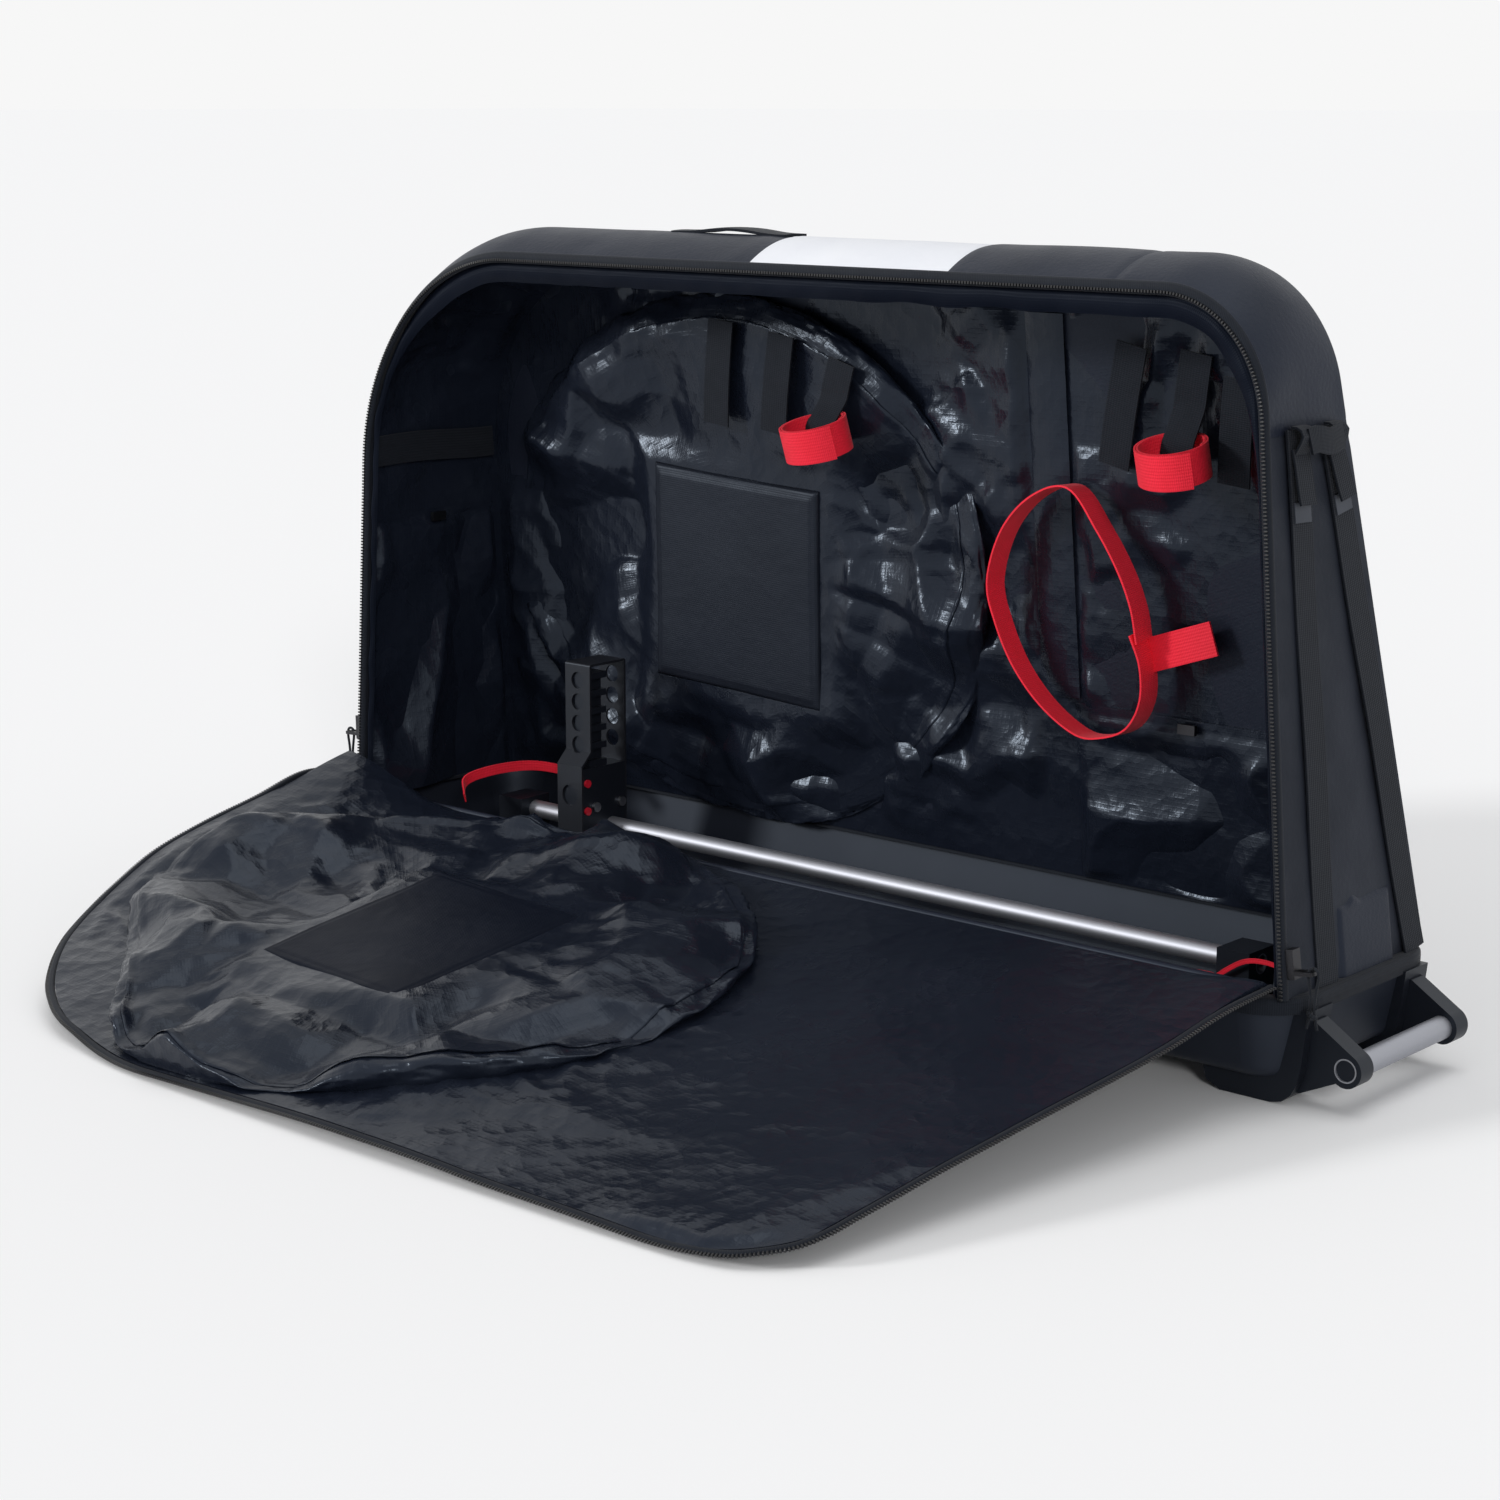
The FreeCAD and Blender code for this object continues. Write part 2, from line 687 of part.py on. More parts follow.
wide_y = ("-tray_width", "tray_width")
node(common("front_end", gusset, box("front_end_zone", "hood_x", "2 * front_x", *wide_y, "0", "hood_z")),
     "front_end_panel")
node(common("hood", gusset, box("hood_zone", "hood_x", "2 * front_x", *wide_y, "hood_z", "2 * zip_top_z")),
     "front_hood")
top_front_zone = box("top_front_zone", "white_front_x", "hood_x", *wide_y, "hood_z", "2 * zip_top_z")
node(common("top_front", gusset, top_front_zone),
     "top_panel_front")
white_zone = box("white_zone", "white_rear_x", "white_front_x", *wide_y, "hood_z", "2 * zip_top_z")
node(common("top_white", gusset, white_zone),
     "top_panel_white")
top_rear_zone = box("top_rear_zone", "-2 * rear_x", "white_rear_x", *wide_y, "rear_seam_z", "2 * zip_top_z")
node(common("top_rear", gusset, top_rear_zone),
     "top_panel_rear")
rear_end_zone = box("rear_end_zone", "-2 * rear_x", "white_rear_x", *wide_y, "0", "rear_seam_z")
node(common("rear_end", gusset, rear_end_zone),
     "rear_end_panel")

zip_strip = end_layer(-GAP - size("zip_thick"), -GAP, 0)
node(solid("zip_case", zip_strip.common(near_block(size("lip_offset") + size("zip_width")))), "opening_zip")

# Sill that the flap folds about

sill_foot = box("sill_foot", "-sill_length / 2", "sill_length / 2", "-hinge_y - sill_thick / 2",
                "-hinge_y + sill_thick / 2", "tray_rim_z + hem_cap", "hinge_z")
sill_roll = cylinder("sill_roll", "sill_radius", "sill_length", "0", "-hinge_y", "hinge_z", "X")
node(fuse("sill", sill_foot, sill_roll), "near_sill")

# Flap, drawn flat in its own plane and laid open about the sill

LEAN_F = "tan(front_lean)"
LEAN_R = "tan(rear_lean)"


def flap_body(name):
    owner = doc.addObject("PartDesign::Body", name)
    return place(owner, "0", "-hinge_y", "hinge_z", Vector(1, 0, 0), "flap_open")


def flap_blank(name, grow, thick):
    """The flap's outline, grown on its three free sides, as a plate."""
    owner = flap_body(name)
    front = f"(front_x - flap_inset - binding_width + {grow})"
    rear = f"(rear_x - flap_inset - binding_width + {grow})"
    far = f"(flap_reach - binding_width + {grow})"
    shape = outline(sketch(owner, "XY_Plane"), [
        (f"-{rear}", "-flap_start"), (f"-{rear} - {far} * {LEAN_R}", f"-{far}"),
        (f"{front} - {far} * {LEAN_F}", f"-{far}"), (front, "-flap_start")])
    pad = feature(owner, "Pad", shape, thick)
    reach = size("flap_reach")

    def corner(test):
        return lambda a, b: abs(a.z - b.z) > 1 and a.y < -reach / 2 and test(a.x)

    rear_round = fillet(owner, pad, f"rear_corner - binding_width + {grow}", corner(lambda x: x < 0))
    fillet(owner, rear_round, f"front_corner - binding_width + {grow}", corner(lambda x: x > 0))
    return owner


node(flap_blank("flap", "0", "flap_thick"), "flap_panel")
binding_out = flap_blank("binding_out", "binding_width", "binding_thick")
binding_in = flap_blank("binding_in", "0", "3 * binding_thick")
node(cut("binding", binding_out, binding_in), "flap_binding")

flap_pocket = flap_body("flap_pocket")
disc = sketch(flap_pocket, "XY_Plane", "flap_thick / 2")
circle(disc, "flap_pocket_x", "-flap_pocket_v", "flap_pocket_radius")
disc_pad = feature(flap_pocket, "Pad", disc, "flap_pocket_thick", both_ways=False)
top_of_disc = size("flap_thick") / 2 + size("flap_pocket_thick")
fillet(flap_pocket, disc_pad, "flap_pocket_thick * 0.6", lambda a, b: min(a.z, b.z) > top_of_disc - 0.01)
node(flap_pocket, "flap_wheel_pocket")

flap_pad = flap_body("flap_pad")
square = sketch(flap_pad, "XY_Plane", "flap_thick / 2 + flap_pocket_thick")
outline(square, [(f"flap_pocket_x + {i} * hub_pad_side / 2", f"-flap_pocket_v + {j} * hub_pad_side / 2")
                 for i, j in ((-1, -1), (1, -1), (1, 1), (-1, 1))])
square_pad = feature(flap_pad, "Pad", square, "hub_pad_thick", both_ways=False)
top_of_pad = top_of_disc + size("hub_pad_thick")
fillet(flap_pad, square_pad, "hub_pad_thick * 0.5", lambda a, b: min(a.z, b.z) > top_of_pad - 0.01)
node(flap_pad, "flap_hub_pad")

# Fittings on the back wall, each a layer of its own depth


def layer(name, outer, inner):
    return solid(name, far_layer(outer, inner))


DEPTH = WALL + GAP
POCKET = DEPTH + size("pocket_thick")
STRAP = size("strap_thick")
deep_y = ("-tray_width", "tray_width")

pocket_round = cylinder("pocket_round", "back_pocket_radius", "2 * tray_width",
                        "back_pocket_x", "0", "back_pocket_z", "Y")
node(common("back_pocket", pocket_round, layer("pocket_layer", DEPTH, POCKET)), "back_wheel_pocket")
pad_block = box("pad_block", "back_pocket_x - hub_pad_side / 2", "back_pocket_x + hub_pad_side / 2", *deep_y,
                "back_pocket_z - hub_pad_side / 2", "back_pocket_z + hub_pad_side / 2")
pad_layer = layer("pad_layer", POCKET + GAP, POCKET + GAP + size("hub_pad_thick"))
node(common("back_pad", pad_block, pad_layer), "back_hub_pad")

sleeve_block = box("sleeve_block", "sleeve_x - sleeve_width / 2", "sleeve_x + sleeve_width / 2", *deep_y,
                   "store_top_z + 4", "zip_top_z - 40")
node(common("sleeve", sleeve_block, layer("sleeve_layer", DEPTH, DEPTH + STRAP)), "rod_sleeve")

holders = []
pocket_face = layer("holder_layer_pocket", POCKET + GAP, POCKET + GAP + STRAP)
wall_face = layer("holder_layer_wall", DEPTH, DEPTH + STRAP)
for count, (x, low, high, face) in enumerate((
        ("back_pocket_x + 3", 604, 728, pocket_face), ("back_pocket_x + 98", 601, 716, pocket_face),
        ("back_pocket_x + 187", 575, 690, pocket_face), ("front_x - 335", 598, 730, wall_face),
        ("front_x - 247", 585, 726, wall_face), ("front_x - 190", 590, 702, wall_face))):
    sides = (f"{x} - holder_width / 2", f"{x} + holder_width / 2")
    strip = box(f"holder_block_{count}", *sides, *deep_y, low, high)
    holders.append(common(f"holder_{count}", strip, face))
node(group("holders", *holders), "holder_straps")


def strap_roll(width):
    """Webbing rolled on itself: half-turn arcs about two centres, with a steady step."""
    core = size("roll_core")
    pitch = size("roll_pitch")
    thick = size("strap_thick") * 0.8
    inner = []
    outer = []
    for half_turn in range(2 * int(size("roll_turns"))):
        centre = Vector(0 if half_turn % 2 == 0 else pitch / 2, 0, 0)
        sign = 1 if half_turn % 2 == 0 else -1
        radius = core + half_turn * pitch / 2
        for edges, distance in ((inner, radius), (outer, radius + thick)):
            reach = Vector(sign * distance, 0, 0)
            crown = Vector(0, 0, sign * distance)
            edges.append(Part.Arc(centre + reach, centre + crown, centre - reach).toShape())
    ends = [Part.LineSegment(inner[i].Vertexes[0 if i == 0 else -1].Point,
                             outer[i].Vertexes[0 if i == 0 else -1].Point).toShape() for i in (0, -1)]
    face = Part.Face(Part.Wire(Part.__sortEdges__(inner + outer + ends)))
    return face.extrude(Vector(0, width, 0))


ROLL_R = size("roll_core") + (size("roll_turns") - 0.5) * size("roll_pitch") + 0.8 * STRAP
rolls = []
for count, (x, top, strap_face_depth) in enumerate((
        (size("back_pocket_x") + 187, 625, POCKET + GAP + STRAP),
        (size("front_x") - 247, 635, DEPTH + STRAP))):
    rolls.append(solid(f"roll_{count}", strap_roll(size("roll_width"))))
    back = far_line(x, top) - strap_face_depth - GAP
    spot = Vector(x, size("case_y") + back - ROLL_R, top - size("roll_width"))
    rolls[-1].Placement = Placement(spot, Rotation(Vector(1, 0, 0), 90))
node(group("rolls", *rolls), "rolled_straps")


def loop_prism(name, grow):
    owner = body(name)
    shape = outline(sketch(owner, "XZ_Plane"), [
        (f"loop_x + {i} * (loop_length / 2 + {grow})", f"loop_z + {j} * (loop_height / 2 + {grow})")
        for i, j in ((-1, -1), (1, -1), (1, 1), (-1, 1))])
    pad = feature(owner, "Pad", shape, "4 * tray_width")
    fillet(owner, pad, f"loop_round + {grow}", lambda a, b: abs(a.y - b.y) > 10)
    return owner


loop_ring = cut("loop_ring", loop_prism("loop_out", "0"), loop_prism("loop_in", "-strap_thick"))
# The loop stands clear of the pocket slider, which hangs upright on a leaning wall.
LOOP_BACK = DEPTH + size("store_thick") + 1.5 * size("small_slider_thick") + 5 * GAP
loop = common("loop", loop_ring, layer("loop_layer", LOOP_BACK, LOOP_BACK + size("loop_band")))
loop_side = "(loop_x + loop_length / 2)"
tab_z = ("loop_z - tab_height", "loop_z")
tab_block = box("tab_block", f"{loop_side} - strap_thick", f"{loop_side} + tab_length", *deep_y, *tab_z)
tab = common("tab", tab_block, layer("tab_layer", DEPTH, DEPTH + STRAP))
root_block = box("root_block", f"{loop_side} - strap_thick", loop_side, *deep_y, *tab_z)
loop_root = common("loop_root", root_block, layer("root_layer", DEPTH, LOOP_BACK + STRAP))
node(fuse("loop_and_tab", loop, loop_root, tab), "red_loop_strap")

store_block = box("store_block", "store_x - store_length / 2", "store_x + store_length / 2", *deep_y,
                  "tray_rim_z", "store_top_z")
node(common("store", store_block, layer("store_layer", DEPTH, DEPTH + size("store_thick"))), "back_pocket")

store_face = far_line(size("store_x"), size("store_top_z")) - DEPTH - size("store_thick")
slip = box("slip", "-small_slider_length / 2", "small_slider_length / 2", "-small_slider_thick", "0",
           "store_top_z - small_slider_height - 4", "store_top_z - 4")
slip.setExpression("Placement.Base.x", ex("store_x - small_slider_length / 2"))
slip.setExpression("Placement.Base.y", ex(f"case_y + {store_face - 2 * GAP} - small_slider_thick"))
node(slip, "back_pocket_slider")

# Fittings on the end walls

rear_zone = box("rear_zone", "-2 * rear_x", "0", "-tray_width / 2", "tray_width / 2",
                "tray_rim_z", "rear_pocket_top_z")
rear_layer = solid("rear_layer", end_layer(DEPTH, DEPTH + size("rear_pocket_thick"), 10))
node(common("rear_pocket_cut", rear_layer, rear_zone), "rear_pocket")
elastic_zone = box("elastic_zone", "-2 * rear_x", "0", "-tray_width / 2", "tray_width / 2",
                   "elastic_z", "elastic_z + elastic_width")
elastic_layer = solid("elastic_layer", end_layer(DEPTH, DEPTH + STRAP, 8))
node(common("elastic_cut", elastic_layer, elastic_zone), "rear_elastic_band")

rear_face = -size("rear_x") - REAR_TAN * (size("rear_pocket_top_z") - 10 - SHELL_Z) \
    + (DEPTH + size("rear_pocket_thick")) / math.cos(math.radians(size("rear_lean"))) + 2 * GAP
rear_slip = box("rear_slip", "0", "small_slider_thick", "-small_slider_length / 2", "small_slider_length / 2",
                "rear_pocket_top_z - small_slider_height - 4", "rear_pocket_top_z - 4")
rear_slip.setExpression("Placement.Base.x", str(rear_face))
node(rear_slip, "rear_pocket_slider")

strap_face = solid("strap_face", end_layer(-GAP - STRAP, -GAP, 0))
tail_face = solid("tail_face", end_layer(-2 * GAP - 2 * STRAP, -2 * GAP - STRAP, 0))
tip_face = solid("tip_face", end_layer(-2 * GAP - 3 * STRAP, -2 * GAP - STRAP, 0))
handle_face = solid("handle_face", end_layer(-size("handle_stand") - STRAP, -size("handle_stand"), 0))
leg_face = solid("leg_face", end_layer(-size("handle_stand"), -2 * GAP - STRAP, 0))


def leaning_block(name, foot_y, turn, width, low, high):
    """A block across the front wall that leans with one of its straps."""
    obj = doc.addObject("Part::Box", name)
    bind(obj, Length="front_x", Width=width, Height=f"({high}) - ({low})")
    rise = f"(({low}) - tray_rim_z)"
    near = f"{foot_y} - {rise} * tan({turn}) - ({width}) / 2"
    return place(obj, "front_x / 2", near, low, Vector(1, 0, 0), turn)


tails = []
tips = []
legs = []
for word in ("near", "far"):
    def leaning(part, *spans):
        return leaning_block(f"{part}_{word}_block", f"lift_{word}_y", f"lift_{word}_turn", *spans)

    lift = leaning("lift", "lift_width", "tray_rim_z", "lift_top_z")
    node(common(f"lift_{word}", lift, strap_face), f"front_strap_{word}")
    tail = leaning("tail", "tail_width", "tip_z + tip_height", "lift_top_z - handle_height - 2")
    tails.append(common(f"tail_{word}", tail, tail_face))
    tip = leaning("tip", "tail_width", "tip_z", "tip_z + tip_height")
    tips.append(common(f"tip_{word}", tip, tip_face))
    leg = leaning("leg", "lift_width / 3", "lift_top_z - handle_height", "lift_top_z")
    legs.append(common(f"leg_{word}", leg, leg_face))
node(group("tails", *tails), "strap_tails")
node(group("tips", *tips), "strap_tips")
top_y = {}
for word in ("near", "far"):
    lean = math.tan(math.radians(size(f"lift_{word}_turn")))
    top_y[word] = size(f"lift_{word}_y") - (size("lift_top_z") - size("tray_rim_z")) * lean
grip_zone = box("grip_zone", "0", "2 * front_x",
                f"{top_y['near']} - lift_width / 3", f"{top_y['far']} + lift_width / 3",
                "lift_top_z - handle_height", "lift_top_z")
node(fuse("front_grip", common("grip", grip_zone, handle_face), *legs), "front_handle")

doc_zone = box("doc_zone", "0", "2 * front_x",
               "lift_near_y + lift_width / 2 + 6", "lift_far_y - lift_width / 2 - 18",
               "tray_rim_z", "doc_pocket_top_z")
doc_layer = solid("doc_layer", end_layer(-GAP - size("doc_pocket_thick"), -GAP, 0))
node(common("doc_cut", doc_zone, doc_layer), "document_pocket")

ridge = "(zip_top_z + ridge_rise)"
grip_top = f"{ridge} + top_handle_rise"
arch = body("arch", x="top_handle_x", y="top_handle_y")
outline(sketch(arch, "XZ_Plane"), [
    ("-92", f"{ridge} - 30"), ("-92", f"{ridge} + 3"), ("-56", f"{ridge} + 4"), ("-34", grip_top),
    ("34", grip_top), ("56", f"{ridge} + 4"), ("92", f"{ridge} + 3"), ("92", f"{ridge} - 30"),
    ("52", f"{ridge} - 30"), ("52", f"{ridge} + 1"), ("32", f"{grip_top} - 4"),
    ("-32", f"{grip_top} - 4"), ("-52", f"{ridge} + 1"), ("-52", f"{ridge} - 30")])
feature(arch, "Pad", arch.Group[0], "top_handle_width")
node(cut("arch_cut", arch, solid("arch_tool", shell_block(-GAP, SHELL_Z))), "top_handle")

# Stand: rail on two feet, red straps over them, upright that slides

rail_outer = cylinder("rail_outer", "rail_radius", "rail_length", "0", "rail_y", "rail_z", "X")
rail_inner = cylinder("rail_inner", "rail_radius - rail_wall", "rail_length + 2",
                      "0", "rail_y", "rail_z", "X")
node(cut("rail", rail_outer, rail_inner), "stand_rail")

rail_bore = cylinder("rail_bore", "rail_radius + fit_gap", "rail_length + 40", "0", "rail_y", "rail_z", "X")
pad_top = f"({pad_z} + pad_thick)"
foot_top = "(rail_z + rail_radius + foot_cover)"
feet = []
hold_downs = []
for side in (-1, 1):
    end = "(rail_length / 2 - foot_length / 2)"
    spans = (f"{side} * {end} - foot_length / 2", f"{side} * {end} + foot_length / 2")
    foot = box(f"foot_{side + 1}", *spans, "rail_y - foot_width / 2", "rail_y + foot_width / 2",
               pad_top, foot_top)
    feet.append(cut(f"foot_cut_{side + 1}", foot, rail_bore))
    strip = (f"{side} * {end} - hold_down_width / 2", f"{side} * {end} + hold_down_width / 2")
    over = box(f"over_{side + 1}", *strip,
               "rail_y - foot_width / 2 - strap_thick", "rail_y + foot_width / 2 + strap_thick",
               pad_top, f"{foot_top} + strap_thick")
    hold_downs.append(cut(f"over_cut_{side + 1}", over, foot))
node(group("feet", *feet), "rail_feet")
node(group("hold_downs", *hold_downs), "stand_straps")

clamp_low = "(rail_z - rail_radius - foot_cover)"
clamp_high = "(rail_z + clamp_rise)"
back_of_plate = "(plate_face_y + plate_thick)"
far_plate = "(plate_face_y + plate_depth)"
clamp = box("clamp", "upright_x - clamp_length / 2", "upright_x + clamp_length / 2", back_of_plate,
            f"{far_plate} - plate_thick", clamp_low, clamp_high)

bolts = []
bolt_holes = []
clamp_side = "(upright_x + clamp_length / 2)"
bolt_z = f"({clamp_high} - bolt_drop)"
for y in ("bolt_near_y", "bolt_far_y"):
    middle = f"{clamp_side} - bolt_length / 2"
    shank = cylinder(f"{y}_shank", "bolt_radius", "bolt_length", middle, y, bolt_z, "X")
    head = cylinder(f"{y}_head", "bolt_head", "bolt_head_thick", f"{clamp_side} + bolt_head_thick / 2",
                    y, bolt_z, "X")
    bolts.append(fuse(f"{y}_bolt", shank, head))
    bolt_holes.append(cylinder(f"{y}_hole", "bolt_radius + fit_gap", "bolt_length", middle, y, bolt_z, "X"))
node(group("bracket_bolts", *bolts), "bracket_bolts")
node(cut("clamp_cut", clamp, rail_bore, group("bolt_bores", *bolt_holes)), "bracket_clamp")

plate = body("plate", x="upright_x")
step_low = f"({clamp_high} + plate_thick)"
step_high = f"({clamp_high} + plate_thick + plate_set_back)"
set_back = "(plate_face_y + plate_set_back)"
under_top = "(plate_top_z - plate_thick)"
outline(sketch(plate, "YZ_Plane"), [
    ("plate_face_y", clamp_low), (back_of_plate, clamp_low), (back_of_plate, step_low),
    (f"{set_back} + plate_thick", step_high), (f"{set_back} + plate_thick", under_top),
    (f"{far_plate} - plate_thick", under_top), (f"{far_plate} - plate_thick", clamp_low),
    (far_plate, clamp_low), (far_plate, "plate_top_z"), (set_back, "plate_top_z"),
    (set_back, f"{step_high} + 1"), ("plate_face_y", f"{step_low} + 1")])
bent_plate = feature(plate, "Pad", plate.Group[0], "plate_width")
bend_z = size("plate_top_z") - 0.01
fillet(plate, bent_plate, "plate_thick", lambda a, b: min(a.z, b.z) > bend_z and abs(a.x - b.x) > 1)
eyes = sketch(plate, "XZ_Plane")
for count in range(4):
    circle(eyes, "0", f"plate_top_z - (0.8 + {count}) * plate_hole_pitch", "plate_hole")
circle(eyes, "0", f"{clamp_high} - plate_big_hole_drop", "plate_big_hole")
feature(plate, "Pocket", eyes, "4 * plate_depth")
node(plate, "bracket_plate")

column = body("column", x="upright_x", y=f"{set_back} + plate_thick + column_depth / 2")
column_pad = feature(column, "Pad", outline(sketch(column, "XZ_Plane"), [
    ("-column_width / 2", clamp_high), ("column_width / 2", clamp_high),
    ("column_width / 2", "column_top_z"), ("-column_width / 2", "column_top_z")]), "column_depth")
slot_sketch = sketch(column, "XZ_Plane")
first_slot = f"{clamp_high} + rib_gap"
slot_top = f"{clamp_high} + rib_pitch"
for side in (-1, 1):
    inner = f"{side} * (column_width / 2 - rib_depth)"
    outer = f"{side} * (column_width / 2 + 2)"
    outline(slot_sketch, [(inner, first_slot), (outer, first_slot), (outer, slot_top), (inner, slot_top)])
slot = feature(column, "Pocket", slot_sketch, "2 * column_depth")
ribs = column.newObject("PartDesign::LinearPattern", "ribs")
ribs.Originals = [slot]
ribs.Direction = (slot_sketch, ["V_Axis"])
ribs.Mode = "Spacing"
bind(ribs, Offset="rib_pitch")
ribs.setExpression("Occurrences", ex(f"floor((column_top_z - {clamp_high} - rib_gap) / rib_pitch)"))
column.Tip = ribs
node(column, "bracket_column")

caps = [cylinder(f"{drop}_cap", "cap_radius", "cap_thick", f"{clamp_side} + cap_thick / 2",
                 "plate_face_y + cap_set_in", f"{clamp_high} - {drop}", "X")
        for drop in ("cap_low_drop", "cap_high_drop")]
node(group("caps", *caps), "bracket_plugs")

# Main zip sliders and their cord pulls


def zip_slider(name, lean, foot_x, z, side):
    """A slider on the case's zip tape, with a bail standing out for its pull."""
    tangent = math.tan(math.radians(lean))
    wall_x = side * foot_x - tangent * (z - SHELL_Z)
    edge_y = -size("hinge_y") + size("lip_offset") + SIDE_TAN * (z - size("hinge_z")) + size("zip_width") / 2
    lift = 2 * GAP + size("zip_thick")
    reach = lift + size("slider_thick") + size("bail_reach")
    width = size("slider_width")
    length = size("slider_length")
    base = Part.makeBox(size("slider_thick"), width, length, Vector(lift, -width / 2, 0))
    rod = size("bail_radius")
    face = lift + size("slider_thick")
    stem = Part.makeBox(size("bail_reach"), width, 2 * rod, Vector(face, -width / 2, -2 * rod + 8))
    notch = Part.makeBox(size("bail_reach") - 2 * rod, width - 4 * rod, 8 * rod,
                         Vector(face, -width / 2 + 2 * rod, -4 * rod + 8))
    shape = base.fuse(stem.cut(notch)).removeSplitter()
    turn = Rotation(Vector(0, 1, 0), -lean)
    if side < 0:
        turn = turn.multiply(Rotation(Vector(0, 0, 1), 180))
    slider = solid(name, shape)
    slider.Placement = Placement(Vector(wall_x, edge_y + size("case_y"), z), turn)
    bar = Placement(Vector(wall_x, edge_y, z), turn).multVec(Vector(reach - rod, 0, 8 - rod))
    return slider, bar


def cord_pull(name, bar):
    """A cord looped round a slider's bail, drawn together below and ended in a knot."""
    bend = size("pull_bend")
    radius = size("pull_radius")
    clear = size("bail_radius") * math.sqrt(2) + radius + GAP
    middle = Vector(0, 0, clear - bend)
    ring = Part.makeTorus(bend, radius, middle, Vector(0, 1, 0))
    join = middle - Vector(0, 0, bend)
    tail = Part.makeCylinder(radius * 1.5, size("pull_length"), join, Vector(0, 0, -1))
    knot = Part.makeSphere(size("knot_radius"), join - Vector(0, 0, size("pull_length")))
    pull = solid(name, ring.fuse([tail, knot]))
    pull.Placement = Placement(bar + Vector(0, size("case_y"), 0), Rotation())
    return pull


front_slider, front_bar = zip_slider("front_slider", size("front_lean"), size("front_x"),
                                     size("front_slider_z"), 1)
rear_slider, rear_bar = zip_slider("rear_slider", size("rear_lean"), size("rear_x"),
                                   size("rear_slider_z"), -1)
node(front_slider, "main_slider_front")
node(rear_slider, "main_slider_rear")
node(cord_pull("front_pull", front_bar), "slider_pull_front")
node(cord_pull("rear_pull", rear_bar), "slider_pull_rear")
print("pull hinges at", [round(c, 3) for c in front_bar], [round(c, 3) for c in rear_bar])

# Check every object, then write the nodes

doc.recompute()
faults = [f"{obj.Label} did not compute" for obj in doc.Objects
          if "Invalid" in obj.State or "Error" in obj.State]
faults += [f"{obj.Label} has no valid solid" for obj in NODES
           if obj.Shape.isNull() or not obj.Shape.isValid() or not obj.Shape.Solids]
if faults:
    raise RuntimeError("; ".join(faults))
os.makedirs("parts", exist_ok=True)
everything = FreeCAD.BoundBox()
for obj in NODES:
    everything.add(obj.Shape.BoundBox)
    obj.Shape.exportStep(f"parts/{obj.Label}.step")
print(len(NODES), "nodes", everything)
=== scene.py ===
"""Bike travel case: cloth, webbing, zips, finishes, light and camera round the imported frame."""
import json
from math import copysign, cos, exp, floor, hypot, pi, radians, sin, sqrt, tan

import bpy
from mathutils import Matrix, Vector, noise


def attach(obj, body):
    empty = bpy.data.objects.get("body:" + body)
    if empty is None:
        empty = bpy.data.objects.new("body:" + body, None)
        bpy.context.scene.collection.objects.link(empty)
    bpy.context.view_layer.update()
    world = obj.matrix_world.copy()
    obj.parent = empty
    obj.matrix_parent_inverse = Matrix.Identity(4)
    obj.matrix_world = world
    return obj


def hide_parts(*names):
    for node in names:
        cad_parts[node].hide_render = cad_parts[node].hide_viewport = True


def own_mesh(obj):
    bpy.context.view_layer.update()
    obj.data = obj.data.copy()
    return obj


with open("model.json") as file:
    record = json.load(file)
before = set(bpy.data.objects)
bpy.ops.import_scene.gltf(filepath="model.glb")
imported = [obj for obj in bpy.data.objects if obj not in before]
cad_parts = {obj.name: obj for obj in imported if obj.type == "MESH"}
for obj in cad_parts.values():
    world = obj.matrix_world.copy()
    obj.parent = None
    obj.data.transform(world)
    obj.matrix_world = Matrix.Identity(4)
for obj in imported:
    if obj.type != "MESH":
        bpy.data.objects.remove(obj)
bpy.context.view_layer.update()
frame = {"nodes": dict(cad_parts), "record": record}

# The case is drawn about its own middle plane, which lies CASE_Y from the frame's origin. Sizes are in metres.
CASE_Y = 0.33287
SHELL_Z, RIDGE_Z, RIM_Z = 0.1143, 0.83, 0.11
CROWN = 4.375
FRONT_X, FRONT_LEAN, FRONT_ROUND = 0.68, radians(7.4), 0.131
REAR_X, REAR_LEAN, REAR_ROUND = 0.682, radians(1.4), 0.233
BACK_FOOT, BACK_TOP, BACK_TAPER, BACK_TOP_Z = 0.138, 0.11, 0.074, 0.797
WALL = 0.006
LINER_IN, LINER_THICK = 0.0048, 0.0014
SEAM_GAP = 0.0022
POCKET_FOOT = 0.115
HINGE_Y, HINGE_Z = -0.141, 0.124
SIDE_TAN = tan(radians(4.6))
LIP = 0.005
FLAP_OPEN = radians(10)
FLAP_NORMAL = (0.0, -sin(FLAP_OPEN), cos(FLAP_OPEN))
FLAP_REACH, FLAP_REAR, FLAP_FRONT = 0.68, -0.67, 0.668
FLAP_REAR_ROUND, FLAP_FRONT_ROUND = 0.225, 0.123
FLAP_POCKET, FLAP_PAD = (-0.22, 0.343), (0.037, -0.011)
BACK_POCKET, BACK_PAD = (-0.245, 0.433), (0.01, -0.027)
ON_POCKET, ON_WALL = WALL + 0.0003 + 0.028 + 0.01, WALL + 0.013
STRAP = 0.0022


# Modelling helpers

def deselect():
    """Leaves object mode with nothing selected."""
    if bpy.context.object and bpy.context.object.mode != "OBJECT":
        bpy.ops.object.mode_set(mode="OBJECT")
    bpy.ops.object.select_all(action="DESELECT")


def pick(piece):
    """Makes one piece the only selected one, and active."""
    deselect()
    piece.select_set(True)
    bpy.context.view_layer.objects.active = piece


